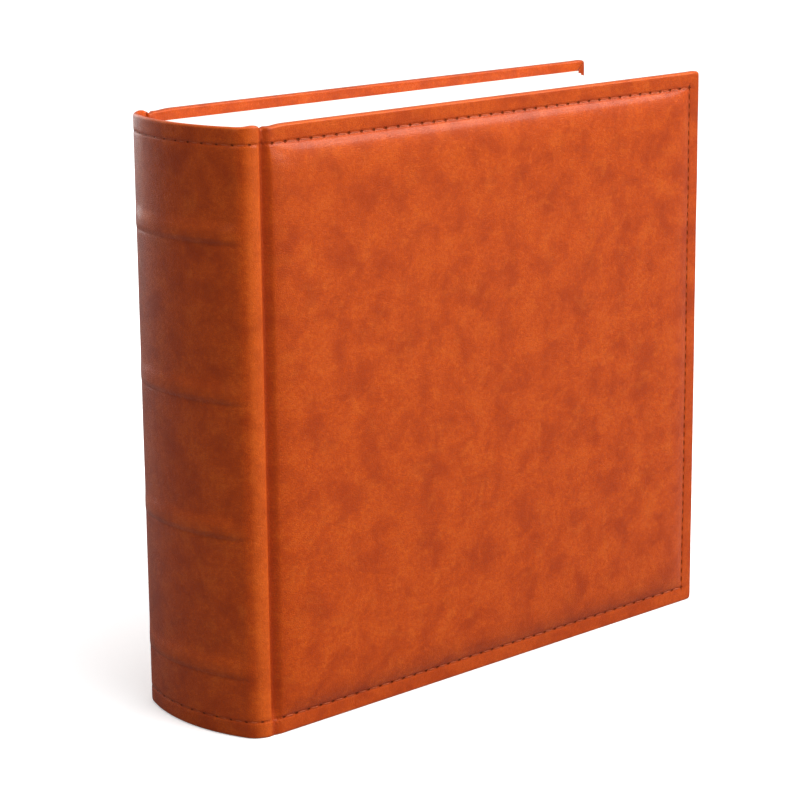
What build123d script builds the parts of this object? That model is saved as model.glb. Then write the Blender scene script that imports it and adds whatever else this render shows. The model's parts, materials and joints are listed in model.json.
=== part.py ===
from build123d import *
import os
from math import atan2, cos, degrees, radians, sin, sqrt, tan

# Scrapbook album, case bound in padded leather, standing on its tail edge.
# +X runs from the spine to the fore-edge, -Y out of the front cover, +Z from tail to head.
# The origin is the middle of the bounding box at the tail. All sizes are in millimetres.

# Paper
page_height = 304.8
page_width = 304.8
binding_margin = 20.0
leaf_thickness = 1.5
leaf_gap = 0.15
sheet_gap = 0.3
sheets_per_half = 12
flyleaf_thickness = 0.4
cover_block_gap = 0.3
back_rounding = 12.5
crease_gap = 0.3
crease_lean = 35.0
flyleaf_crease = 7.0

# Covers
head_square = 7.1
fore_edge_square = 8.0
board_thickness = 3.0
leather_thickness = 1.0
turn_in_thickness = 0.8
turn_in_width = 15.0
pastedown_thickness = 0.4
pastedown_margin = 6.0
joint_width = 3.5
pad_height = 3.5
pad_margin = 10.5
pad_hinge_margin = 13.0
pad_slope = 5.0

# Spine
shoulder_inset = 0.9
shoulder_radius = 12.0
shoulder_setback = 2.1
spine_radius = 100.0
liner_thickness = 0.8
glue_line = 0.1
spine_turn_in = 12.0
hollow_gap = 1.5
band_width = 7.0
band_rise = 1.3
band_setback = 7.0
band_heights = [36.0, 111.0, 182.0, 264.0]
groove_depth = 2.2

# Binding
tape_width = 14.0
tape_thickness = 0.5
mull_thickness = 0.4
mull_margin = 18.0
thread_thickness = 0.4
thread_width = 0.8
thread_overlap = 2.0
sewing_gap = 0.1

# Stitching on the cover
stitch_margin = 9.0
stitch_pitch = 8.6
fore_edge_pitch = 5.3
stitch_fill = 0.72
stitch_width = 0.8
stitch_height = 0.4
stitch_clearance = 2.5

# Depths below the front cover's flat margin
infill_depth = leather_thickness + board_thickness
pastedown_depth = infill_depth + turn_in_thickness
cover_stack = pastedown_depth + pastedown_thickness
flyleaf_depth = cover_stack + cover_block_gap
first_sheet_depth = flyleaf_depth + flyleaf_thickness + sheet_gap
sheet_thickness = 2 * leaf_thickness + leaf_gap
sheet_pitch = sheet_thickness + sheet_gap
half_thickness = first_sheet_depth + sheets_per_half * sheet_pitch - sheet_gap / 2

# Heights
cover_height = page_height + 2 * head_square
page_bottom = head_square

# Spine outline, with x measured from the groove line
shoulder_centre_x = -shoulder_setback
shoulder_centre_y = half_thickness - shoulder_inset - shoulder_radius
arc_offset = sqrt((spine_radius - shoulder_radius) ** 2 - shoulder_centre_y**2)
spine_centre_x = shoulder_centre_x + arc_offset
spine_peak_x = spine_centre_x - spine_radius
liner_start = leather_thickness + glue_line
flap_start = liner_start + liner_thickness + glue_line
flap_end = flap_start + turn_in_thickness

# Rounded back of the folded sheets, with x measured from the groove line
mull_peak_x = spine_peak_x + flap_end + hollow_gap
sewing_depth = mull_thickness + sewing_gap + thread_thickness + sewing_gap + tape_thickness + sewing_gap
block_peak_x = mull_peak_x + sewing_depth
block_half = half_thickness - first_sheet_depth
block_radius = (block_half**2 + back_rounding**2) / (2 * back_rounding)
block_centre_x = block_peak_x + block_radius
fold_radius = sheet_thickness / 2
sheet_length = page_width + binding_margin


def fold_x(depth):
    """Where the fold's round centre lies for a sheet whose middle is at this depth."""
    across = half_thickness - depth
    return block_centre_x - sqrt((block_radius - fold_radius) ** 2 - across**2)


def crease_x(depth):
    """Where a leaf's crease lies when its front face is at this depth."""
    return flyleaf_crease + (depth - flyleaf_depth) * tan(radians(crease_lean))


outer_fold_x = fold_x(first_sheet_depth + fold_radius)
cover_width = outer_fold_x + sheet_length + fore_edge_square
groove_x = (band_rise - spine_peak_x - cover_width) / 2

os.makedirs("parts", exist_ok=True)


def save(name, pieces):
    """Write one node from a list of solids."""
    solids = [solid for piece in pieces for solid in piece.solids()]
    for solid in solids:
        solid.label = name
    shape = solids[0] if len(solids) == 1 else Compound(children=solids, label=name)
    export_step(shape, f"parts/{name}.step")


def slab(x_start, x_end, depth_start, depth_end, z_start, z_end):
    """A box given from the groove line, the front margin's plane and the tail."""
    size = (x_end - x_start, depth_end - depth_start, z_end - z_start)
    corner = (groove_x + x_start, depth_start - half_thickness, z_start)
    return Pos(*corner) * Box(*size, align=(Align.MIN, Align.MIN, Align.MIN))


def to_back(pieces):
    """The same pieces on the back half of the album."""
    return [mirror(piece, about=Plane.XZ) for piece in pieces]


def upright(face, z_start, z_end):
    """Extrude a plan outline between two heights."""
    return Pos(0, 0, z_start) * extrude(face, z_end - z_start, dir=(0, 0, 1))


def tapered_block(margins, slope, depth_start, depth_end):
    """A raised panel: margins are hinge, fore-edge and head/tail, and it narrows outwards."""
    hinge, fore_edge, head = margins
    width = cover_width - joint_width - hinge - fore_edge
    height = cover_height - 2 * head
    centre_x = groove_x + joint_width + hinge + width / 2
    centre = (centre_x, 0, cover_height / 2)
    low = Plane(origin=centre, x_dir=(1, 0, 0), z_dir=(0, -1, 0)).offset(half_thickness - depth_start)
    high = low.offset(depth_start - depth_end)
    outline = [low * Rectangle(width, height), high * Rectangle(width - 2 * slope, height - 2 * slope)]
    return loft(outline)


# Covers


def cover_leather():
    """Outer skin with its raised panel, wrapped round the board's edges and turned in."""
    body = slab(joint_width, cover_width, 0, pastedown_depth, 0, cover_height)
    panel = tapered_block((pad_hinge_margin, pad_margin, pad_margin), pad_slope, 0, -pad_height)
    edge = leather_thickness
    inner = slab(joint_width + edge, cover_width - edge, edge, infill_depth, edge, cover_height - edge)
    frame = turn_in_width
    recess = slab(joint_width, cover_width - frame, infill_depth, pastedown_depth, frame, cover_height - frame)
    return body + panel - inner - pad_block() - recess


def pad_block():
    """The foam pad, which fills the raised panel under the leather."""
    edge = leather_thickness
    margins = (pad_hinge_margin + edge, pad_margin + edge, pad_margin + edge)
    return tapered_block(margins, pad_slope, edge, edge - pad_height)


def cover_board():
    edge = leather_thickness
    return slab(joint_width + edge, cover_width - edge, edge, infill_depth, edge, cover_height - edge)


def infill_card():
    """Card that brings the inside of the board level with the turned-in leather."""
    frame = turn_in_width
    x_start = joint_width + leather_thickness
    return slab(x_start, cover_width - frame, infill_depth, pastedown_depth, frame, cover_height - frame)


def pastedown():
    margin = pastedown_margin
    x_start = joint_width + leather_thickness
    return slab(x_start, cover_width - margin, pastedown_depth, cover_stack, margin, cover_height - margin)


def stitch_row(start, end, pitch):
    """Start and end of each stitch in a row, evenly spread."""
    count = round((end - start) / pitch)
    step = (end - start) / count
    length = step * stitch_fill
    return [(start + step * (i + 0.5) - length / 2, start + step * (i + 0.5) + length / 2) for i in range(count)]


def cover_stitches():
    """Stitches along the head, the fore-edge and the tail of one cover."""
    half = stitch_width / 2
    line_x = cover_width - stitch_margin
    head_z = cover_height - stitch_margin
    tail_z = stitch_margin
    pieces = []
    for x_start, x_end in stitch_row(joint_width + stitch_clearance, line_x, stitch_pitch):
        for z in (tail_z, head_z):
            pieces.append(slab(x_start, x_end, -stitch_height, 0, z - half, z + half))
    for z_start, z_end in stitch_row(tail_z, head_z, fore_edge_pitch):
        pieces.append(slab(line_x - half, line_x + half, -stitch_height, 0, z_start, z_end))
    return pieces


def joint_leather():
    """The strip of leather that dips into the groove between the spine and one cover."""
    margin_y = -half_thickness
    spine_side = groove_x - shoulder_setback
    cover_side = groove_x + joint_width - glue_line
    middle = (spine_side + cover_side) / 2
    outer = ThreePointArc(
        (spine_side, margin_y + shoulder_inset),
        (middle, margin_y + groove_depth),
        (cover_side, margin_y + shoulder_inset),
    )
    inner = ThreePointArc(
        (spine_side, margin_y + shoulder_inset + leather_thickness),
        (middle, margin_y + groove_depth + leather_thickness),
        (cover_side, margin_y + shoulder_inset + leather_thickness),
    )
    ends = [Line(outer @ 0, inner @ 0), Line(outer @ 1, inner @ 1)]
    face = make_face([outer, inner] + ends)
    return upright(face, 0, cover_height)


# Spine


def spine_region(inset):
    """Plan area of the rounded spine, from the shoulders back, inset from its outer face."""
    start_x = groove_x + shoulder_centre_x
    centre = (groove_x + spine_centre_x, 0)
    big = spine_radius - inset
    small = shoulder_radius - inset
    turn = atan2(shoulder_centre_y, arc_offset)
    meet = (centre[0] - big * cos(turn), big * sin(turn))
    half_turn = (radians(90) + turn) / 2
    shoulder_mid = (start_x - small * cos(half_turn), shoulder_centre_y + small * sin(half_turn))
    shoulder_end = (start_x, shoulder_centre_y + small)
    upper = ThreePointArc(shoulder_end, shoulder_mid, meet)
    back = ThreePointArc(meet, (centre[0] - big, 0), (meet[0], -meet[1]))
    lower = ThreePointArc(
        (meet[0], -meet[1]),
        (shoulder_mid[0], -shoulder_mid[1]),
        (shoulder_end[0], -shoulder_end[1]),
    )
    close = Line((shoulder_end[0], -shoulder_end[1]), shoulder_end)
    return make_face([upper, back, lower, close])


def spine_layer(outer, inner, z_start, z_end):
    """A curved layer of the spine between two insets."""
    return upright(spine_region(outer) - spine_region(inner), z_start, z_end)


def band_slice(height, outer, inner, width, setback):
    """A curved layer of one band, which stops short of the groove lines."""
    end_x = groove_x - setback
    window = Pos(end_x, 0) * Rectangle(2 * spine_radius, 4 * half_thickness, align=(Align.MAX, Align.CENTER))
    region = (spine_region(outer) - spine_region(inner)) & window
    return upright(region, height - width / 2, height + width / 2)


def spine_leather():
    """Outer skin over the bands, closed over the liner's ends and turned in at head and tail."""
    leather = spine_layer(0, leather_thickness, 0, cover_height)
    edge = leather_thickness
    for height in band_heights:
        wide = band_width + 2 * edge
        leather += band_slice(height, -band_rise, edge, wide, band_setback - edge)
    for z_start, z_end, cap_start in (
        (0, spine_turn_in, 0),
        (cover_height - spine_turn_in, cover_height, cover_height - edge),
    ):
        leather += spine_layer(leather_thickness, flap_end, cap_start, cap_start + edge)
        leather += spine_layer(flap_start, flap_end, z_start, z_end)
    for height in band_heights:
        leather -= band_slice(height, edge - band_rise, edge, band_width, band_setback)
    return leather


def spine_liner():
    edge = leather_thickness + glue_line
    return spine_layer(liner_start, liner_start + liner_thickness, edge, cover_height - edge)


def raised_band(height):
    """Core of one raised band, between the liner and the leather moulded over it."""
    outer = leather_thickness - band_rise + glue_line
    return band_slice(height, outer, leather_thickness, band_width - 2 * glue_line, band_setback + glue_line)


def spine_stitches():
    """Stitches that carry the cover's lines on round the spine near head and tail."""
    radius = spine_radius
    turn = atan2(shoulder_centre_y, arc_offset)
    pieces = []
    for start, end in stitch_row(-radius * turn, radius * turn, stitch_pitch):
        middle = (start + end) / 2 / radius
        for z in (stitch_margin, cover_height - stitch_margin):
            stitch = Box(stitch_height, end - start, stitch_width)
            out = radius + stitch_height / 2
            place = Pos(groove_x + spine_centre_x - out * cos(middle), out * sin(middle), z)
            pieces.append(place * Rot(0, 0, -degrees(middle)) * stitch)
    return pieces


# Binding


def sheet_depth(number):
    """Depth of the front face of one folded sheet, counted from the front cover."""
    return first_sheet_depth + number * sheet_pitch


def fore_edge_x(number):
    return fold_x(sheet_depth(number) + fold_radius) + sheet_length


def folded_root(number):
    """The fold of one sheet and the stubs of its two leaves, up to their crease."""
    depth = sheet_depth(number)
    middle = depth + fold_radius
    centre_x = fold_x(middle)
    root_end = crease_x(depth) - crease_gap
    z_start, z_end = page_bottom, page_bottom + page_height
    centre = (groove_x + centre_x, middle - half_thickness)
    round_end = upright(Pos(*centre) * Circle(fold_radius), z_start, z_end)
    inner_end = upright(Pos(*centre) * Circle(leaf_gap / 2), z_start, z_end)
    outside = slab(centre_x, root_end, depth, depth + sheet_thickness, z_start, z_end)
    slot_start = depth + leaf_thickness
    slot = slab(centre_x, root_end, slot_start, slot_start + leaf_gap, z_start, z_end)
    return round_end + outside - inner_end - slot


def leaf_pair(number):
    """The two leaves of one folded sheet, from the crease to the fore-edge."""
    depth = sheet_depth(number)
    z_start, z_end = page_bottom, page_bottom + page_height
    starts = (depth, depth + leaf_thickness + leaf_gap)
    return [
        slab(crease_x(depth), fore_edge_x(number), start, start + leaf_thickness, z_start, z_end)
        for start in starts
    ]


def flyleaf():
    z_start, z_end = page_bottom, page_bottom + page_height
    end = flyleaf_depth + flyleaf_thickness
    return slab(flyleaf_crease, fore_edge_x(0), flyleaf_depth, end, z_start, z_end)


def flyleaf_stub():
    """The strip of the flyleaf that is tipped on to the outermost folded sheet."""
    z_start, z_end = page_bottom, page_bottom + page_height
    end = flyleaf_depth + flyleaf_thickness
    return slab(outer_fold_x, flyleaf_crease - crease_gap, flyleaf_depth, end, z_start, z_end)


def block_region(radius):
    """Plan area inside a circle round the folds, no wider than the folded sheets."""
    centre_x = groove_x + block_centre_x
    reach = block_radius - back_rounding
    window = Pos(centre_x - reach, 0) * Rectangle(2 * back_rounding + 4 * sewing_depth, 2 * block_half)
    return (Pos(centre_x, 0) * Circle(radius)) & window


def block_layer(start, thickness, z_start, z_end):
    """A layer glued or sewn over the rounded folds, so far out from them."""
    region = block_region(block_radius + start + thickness) - block_region(block_radius + start)
    return upright(region, z_start, z_end)


def sewing_tape(height):
    return block_layer(sewing_gap, tape_thickness, height - tape_width / 2, height + tape_width / 2)


def sewing_thread():
    """The stitches that hold each fold against the tapes."""
    radius = block_radius + 2 * sewing_gap + tape_thickness + thread_thickness / 2
    pieces = []
    for number in range(2 * sheets_per_half):
        across = sheet_depth(number) + fold_radius - half_thickness
        along = -sqrt((block_radius - fold_radius) ** 2 - across**2)
        turn = atan2(across, -along)
        for height in band_heights:
            stitch = Box(thread_thickness, thread_width, tape_width + 2 * thread_overlap)
            place = Pos(groove_x + block_centre_x - radius * cos(turn), radius * sin(turn), height)
            pieces.append(place * Rot(0, 0, -degrees(turn)) * stitch)
    return pieces


def mull():
    """The gauze glued over the sewn folds."""
    start = sewing_depth - mull_thickness
    return block_layer(start, mull_thickness, mull_margin, cover_height - mull_margin)


cover_makers = {
    "cover_leather": cover_leather,
    "cover_board": cover_board,
    "foam_pad": pad_block,
    "infill_card": infill_card,
    "pastedown": pastedown,
    "joint_leather": joint_leather,
    "flyleaf": flyleaf,
    "flyleaf_stub": flyleaf_stub,
}
for name, make in cover_makers.items():
    piece = make()
    save(f"front_{name}", [piece])
    save(f"back_{name}", to_back([piece]))

stitches = cover_stitches()
save("front_stitching", stitches)
save("back_stitching", to_back(stitches))

save("spine_leather", [spine_leather()])
save("spine_liner", [spine_liner()])
save("spine_stitching", spine_stitches())
for number, height in enumerate(band_heights, start=1):
    save(f"raised_band_{number}", [raised_band(height)])
    save(f"sewing_tape_{number}", [sewing_tape(height)])

save("spine_mull", [mull()])
save("sewing_thread", sewing_thread())

front_roots = [folded_root(number) for number in range(sheets_per_half)]
save("front_folded_roots", front_roots)
save("back_folded_roots", to_back(front_roots))
for number in range(sheets_per_half):
    leaves = leaf_pair(number)
    save(f"front_leaves_{number + 1:02d}", leaves)
    save(f"back_leaves_{number + 1:02d}", to_back(leaves))
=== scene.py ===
"""Looks of a padded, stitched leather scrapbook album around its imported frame."""

import json
import logging
import math
from dataclasses import dataclass, replace
from enum import Enum
from typing import Sequence

import bmesh
import bpy
import numpy as np
from mathutils import Euler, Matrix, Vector
from mathutils.noise import fractal as fractal_noise

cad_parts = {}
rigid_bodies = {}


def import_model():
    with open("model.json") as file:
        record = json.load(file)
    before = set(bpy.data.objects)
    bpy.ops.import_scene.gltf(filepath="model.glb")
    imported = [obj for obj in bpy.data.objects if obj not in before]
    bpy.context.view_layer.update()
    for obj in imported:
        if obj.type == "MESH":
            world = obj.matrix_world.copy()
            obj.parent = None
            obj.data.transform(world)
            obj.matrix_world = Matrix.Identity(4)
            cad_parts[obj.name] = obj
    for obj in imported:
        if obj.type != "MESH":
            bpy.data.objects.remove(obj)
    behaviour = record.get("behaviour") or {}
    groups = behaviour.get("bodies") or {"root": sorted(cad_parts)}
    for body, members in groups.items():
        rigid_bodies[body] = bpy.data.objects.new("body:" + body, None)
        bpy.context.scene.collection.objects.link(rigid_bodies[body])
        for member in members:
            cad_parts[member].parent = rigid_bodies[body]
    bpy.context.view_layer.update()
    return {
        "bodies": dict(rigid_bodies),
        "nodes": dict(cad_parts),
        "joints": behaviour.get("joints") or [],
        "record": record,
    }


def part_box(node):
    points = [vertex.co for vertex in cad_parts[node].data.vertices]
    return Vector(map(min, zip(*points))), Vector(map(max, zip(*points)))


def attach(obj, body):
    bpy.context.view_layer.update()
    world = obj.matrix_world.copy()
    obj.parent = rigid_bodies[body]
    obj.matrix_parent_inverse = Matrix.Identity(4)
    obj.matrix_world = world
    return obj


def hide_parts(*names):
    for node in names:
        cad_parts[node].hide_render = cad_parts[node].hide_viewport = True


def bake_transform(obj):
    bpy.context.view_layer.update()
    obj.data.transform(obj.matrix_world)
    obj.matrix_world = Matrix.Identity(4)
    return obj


log = logging.getLogger("album")

MM = 0.001
RING_CORNERS = 8  # corners in each ring of a leaf

Colour = tuple[float, float, float, float]  # red, green, blue and alpha, linear
Run = tuple[float, float, float, float]  # a stitch's sheet distance, height, and half length along each


class Side(Enum):
    """Which half of the album a piece belongs to."""

    FRONT = -1
    BACK = 1

    @property
    def word(self) -> str:
        """The side's name as the nodes and bodies spell it."""
        return self.name.lower()


# --------------------------------------------------------------------------
# Sizes read from the frame
# --------------------------------------------------------------------------


@dataclass(frozen=True)
class AlbumSizes:
    """The album's main sizes, in metres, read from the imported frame."""

    groove_x: float
    half: float
    height: float
    cover_end: float
    turned_depth: float
    lined_depth: float
    page_low: float
    page_high: float

    @classmethod
    def read(cls, joints: Sequence[dict]) -> "AlbumSizes":
        """Read the sizes from the nodes' boxes and the cover's hinge.

        Args:
            joints: The frame's joints.

        Returns:
            The sizes.
        """
        hinge = joint_named(joints, "front_cover_hinge")
        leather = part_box("front_cover_leather")
        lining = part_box("front_pastedown")
        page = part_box("front_leaves_01")
        half = -hinge["pos_m"][1]
        return cls(
            groove_x=hinge["pos_m"][0],
            half=half,
            height=leather[1][2],
            cover_end=leather[1][0],
            turned_depth=leather[1][1] + half,
            lined_depth=lining[1][1] + half,
            page_low=page[0][2],
            page_high=page[1][2],
        )

    @property
    def cover_width(self) -> float:
        """Width of one cover from the groove line to the fore-edge."""
        return self.cover_end - self.groove_x


def joint_named(joints: Sequence[dict], name: str) -> dict:
    """Find one joint by its name.

    Args:
        joints: The frame's joints.
        name: The joint's name.

    Returns:
        The joint.
    """
    return next(joint for joint in joints if joint["name"] == name)


# --------------------------------------------------------------------------
# Small shape helpers
# --------------------------------------------------------------------------


def smooth_step(low: float, high: float, value: np.ndarray) -> np.ndarray:
    """Smooth rise from 0 at low to 1 at high.

    Args:
        low: Where the rise starts.
        high: Where it ends.
        value: The places asked for.

    Returns:
        The rise at each place.
    """
    share = np.clip((value - low) / (high - low), 0.0, 1.0)
    return share * share * (3.0 - 2.0 * share)


def bell(value: np.ndarray, centre: float, width: float) -> np.ndarray:
    """Bell curve of height 1.

    Args:
        value: The places asked for.
        centre: Where the bell stands.
        width: Distance from its centre at which it has fallen to 1/e.

    Returns:
        The curve at each place.
    """
    return np.exp(-(((value - centre) / width) ** 2))


def spaced(stops: Sequence[float], steps: Sequence[float]) -> list[float]:
    """Grid lines between stops, each stretch with its own step.

    Args:
        stops: Stretch ends in order.
        steps: The largest step allowed in each stretch.

    Returns:
        The grid lines, stops included.
    """
    lines = [stops[0]]
    for start, end, step in zip(stops, stops[1:], steps):
        count = max(1, math.ceil((end - start) / step - 1e-6))
        lines += [start + (end - start) * (k + 1) / count for k in range(count)]
    return lines


def merged(lines: Sequence[float], nearest: float) -> np.ndarray:
    """Sort grid lines and drop those that crowd their neighbour.

    Args:
        lines: Grid lines in any order.
        nearest: The smallest step kept.

    Returns:
        The lines that are left, with both ends kept.
    """
    ordered = sorted(lines)
    kept = [ordered[0]]
    for line in ordered[1:-1]:
        if line - kept[-1] >= nearest and ordered[-1] - line >= nearest:
            kept.append(line)
    return np.array(kept + [ordered[-1]])


def uneven(points: np.ndarray, scale: float, seed: float) -> np.ndarray:
    """Slow unevenness over a surface, about -1 to 1.

    Args:
        points: Flat coordinates, one row each.
        scale: Waves per metre.
        seed: Shifts the pattern.

    Returns:
        One value for each point.
    """
    places = [Vector((point[0] * scale, point[1] * scale, seed)) for point in points]
    return np.array([fractal_noise(place, 1.0, 2.0, 3) for place in places])


def mesh_object(
    name: str,
    points: np.ndarray,
    faces: Sequence[Sequence[int]],
    flat: np.ndarray | None = None,
    marks: dict[str, np.ndarray] | None = None,
) -> bpy.types.Object:
    """Make a smooth-shaded mesh object.

    Args:
        name: The object's name.
        points: Corner positions in metres.
        faces: Corner numbers of each face.
        flat: Flat sheet coordinates of each corner, kept as a UV map.
        marks: Named values of each corner, kept as attributes.

    Returns:
        The linked object.
    """
    mesh = bpy.data.meshes.new(name)
    mesh.from_pydata([tuple(p) for p in points], [], [tuple(f) for f in faces])
    mesh.polygons.foreach_set("use_smooth", [True] * len(mesh.polygons))
    if flat is not None:
        corner = np.empty(len(mesh.loops), dtype=np.int64)
        mesh.loops.foreach_get("vertex_index", corner)
        layer = mesh.uv_layers.new(name="sheet")
        layer.data.foreach_set("uv", np.asarray(flat, np.float32)[corner].ravel())
    for mark, values in (marks or {}).items():
        attribute = mesh.attributes.new(mark, "FLOAT", "POINT")
        attribute.data.foreach_set("value", np.asarray(values, np.float32))
    mesh.update()
    made = bpy.data.objects.new(name, mesh)
    bpy.context.scene.collection.objects.link(made)
    return made


def tube_faces(rings: int, around: int, start: int = 0) -> list[tuple[int, ...]]:
    """Faces of a closed tube whose corners are stored ring by ring.

    Args:
        rings: How many rings there are.
        around: Corners in each ring.
        start: Number of the first corner.

    Returns:
        The faces.
    """
    faces: list[tuple[int, ...]] = []
    for ring in range(rings - 1):
        low = start + ring * around
        high = low + around
        for k in range(around):
            following = (k + 1) % around
            faces.append((low + k, low + following, high + following, high + k))
    last = start + (rings - 1) * around
    faces.append(tuple(start + k for k in reversed(range(around))))
    faces.append(tuple(last + k for k in range(around)))
    return faces


def island_boxes(node: bpy.types.Object) -> list[tuple[np.ndarray, np.ndarray]]:
    """Boxes of the separate solids in one CAD node.

    Args:
        node: The node's object.

    Returns:
        Lowest and highest corner of each solid.
    """
    points = np.array([v.co for v in node.data.vertices])
    merged_ids: dict[tuple[float, ...], int] = {}
    welded = [merged_ids.setdefault(tuple(np.round(p, 6)), len(merged_ids)) for p in points]
    parent = list(range(len(merged_ids)))

    def root(k: int) -> int:
        """Follow a corner to the first corner of its solid."""
        while parent[k] != k:
            parent[k] = parent[parent[k]]
            k = parent[k]
        return k

    for edge in node.data.edges:
        parent[root(welded[edge.vertices[0]])] = root(welded[edge.vertices[1]])
    groups: dict[int, list[int]] = {}
    for index, weld in enumerate(welded):
        groups.setdefault(root(weld), []).append(index)
    return [(points[g].min(axis=0), points[g].max(axis=0)) for g in groups.values()]


# --------------------------------------------------------------------------
# Shader node groups and finishes
# --------------------------------------------------------------------------


class Bench:
    """Adds and joins shader nodes in one tree, with little ceremony."""

    def __init__(self, tree: bpy.types.NodeTree) -> None:
        """Keep the tree that nodes are added to."""
        self.tree = tree

    def node(self, kind: str, **settings: object) -> bpy.types.Node:
        """Add a node.

        Args:
            kind: Blender's name for the node type.
            settings: Properties set on the node.

        Returns:
            The node.
        """
        made = self.tree.nodes.new(kind)
        for name, value in settings.items():
            setattr(made, name, value)
        return made

    def feed(self, node: bpy.types.Node, **inputs: object) -> bpy.types.Node:
        """Set or link a node's inputs by name, with _ for a space.

        Args:
            node: The node to feed.
            inputs: A socket to link, or a value to set.

        Returns:
            The same node.
        """
        for name, value in inputs.items():
            socket = node.inputs[name.replace("_", " ")]
            if isinstance(value, bpy.types.NodeSocket):
                self.tree.links.new(value, socket)
            else:
                socket.default_value = value
        return node

    def maths(self, operation: str, *values: object, clamp: bool = False) -> bpy.types.NodeSocket:
        """Add a Math node.

        Args:
            operation: Blender's name for the operation.
            values: Sockets or numbers, in order.
            clamp: Whether the result is kept between 0 and 1.

        Returns:
            The result's socket.
        """
        made = self.node("ShaderNodeMath", operation=operation, use_clamp=clamp)
        for socket, value in zip(made.inputs, values):
            if isinstance(value, bpy.types.NodeSocket):
                self.tree.links.new(value, socket)
            else:
                socket.default_value = value
        return made.outputs[0]

    def ramp(
        self,
        value: object,
        low: float,
        high: float,
        to_low: float = 0.0,
        to_high: float = 1.0,
    ) -> bpy.types.NodeSocket:
        """Map a value smoothly from one span to another.

        Args:
            value: The socket to map.
            low: Start of the span.
            high: End of the span.
            to_low: Result at the start.
            to_high: Result at the end.

        Returns:
            The mapped value's socket.
        """
        made = self.node("ShaderNodeMapRange", interpolation_type="SMOOTHSTEP")
        self.feed(made, Value=value, From_Min=low, From_Max=high, To_Min=to_low, To_Max=to_high)
        return made.outputs["Result"]

    def wave(self, value: object, rate: object) -> bpy.types.NodeSocket:
        """Absolute sine of a value times a rate: rounded threads side by side."""
        return self.maths("ABSOLUTE", self.maths("SINE", self.maths("MULTIPLY", value, rate)))

    def bump(self, height: object, strength: float, distance: float) -> bpy.types.NodeSocket:
        """Turn a height into a normal.

        Args:
            height: The height's socket.
            strength: How much of the relief is used.
            distance: Depth of the relief in metres.

        Returns:
            The normal's socket.
        """
        made = self.node("ShaderNodeBump")
        self.feed(made, Height=height, Strength=strength, Distance=distance)
        return made.outputs[0]

    def mix(self, share: object, first: object, second: object) -> bpy.types.NodeSocket:
        """Mix two colours.

        Args:
            share: Share of the second colour.
            first: First colour.
            second: Second colour.

        Returns:
            The mixed colour's socket.
        """
        made = self.node("ShaderNodeMix", data_type="RGBA")
        for socket, value in zip((made.inputs[0], made.inputs[6], made.inputs[7]), (share, first, second)):
            if isinstance(value, bpy.types.NodeSocket):
                self.tree.links.new(value, socket)
            else:
                socket.default_value = value
        return made.outputs[2]

    def noise(
        self,
        where: bpy.types.NodeSocket,
        scale: float,
        detail: float = 3.0,
        rough: float = 0.55,
        twist: float = 0.0,
    ) -> bpy.types.NodeSocket:
        """Add a noise texture.

        Args:
            where: The coordinates.
            scale: Waves per unit of the coordinates.
            detail: Octaves.
            rough: Strength of the finer octaves.
            twist: How far the pattern is distorted.

        Returns:
            The noise value's socket.
        """
        made = self.node("ShaderNodeTexNoise")
        self.feed(made, Vector=where, Scale=scale, Detail=detail, Roughness=rough, Distortion=twist)
        return made.outputs[0]

    def stretched(
        self,
        where: bpy.types.NodeSocket,
        factors: tuple[float, float, float],
        turn: float = 0.0,
    ) -> bpy.types.NodeSocket:
        """Scale and turn coordinates.

        Args:
            where: The coordinates.
            factors: Scale along each axis.
            turn: Turn about the third axis, in radians.

        Returns:
            The changed coordinates' socket.
        """
        made = self.node("ShaderNodeMapping")
        self.feed(made, Vector=where, Scale=factors, Rotation=(0.0, 0.0, turn))
        return made.outputs[0]


def new_group(
    name: str,
    inputs: Sequence[tuple[str, str, object]],
    outputs: Sequence[tuple[str, str]],
) -> tuple[bpy.types.NodeTree, Bench, bpy.types.Node, bpy.types.Node]:
    """Start a shader node group.

    Args:
        name: The group's name.
        inputs: Name, kind and starting value of each input.
        outputs: Name and kind of each output.

    Returns:
        The group, its bench, and its input and output nodes.
    """
    group = bpy.data.node_groups.new(name, "ShaderNodeTree")
    for label, kind, value in inputs:
        socket = group.interface.new_socket(name=label, in_out="INPUT", socket_type=f"NodeSocket{kind}")
        if value is not None:
            socket.default_value = value
    for label, kind in outputs:
        group.interface.new_socket(name=label, in_out="OUTPUT", socket_type=f"NodeSocket{kind}")
    bench = Bench(group)
    return group, bench, bench.node("NodeGroupInput"), bench.node("NodeGroupOutput")


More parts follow.
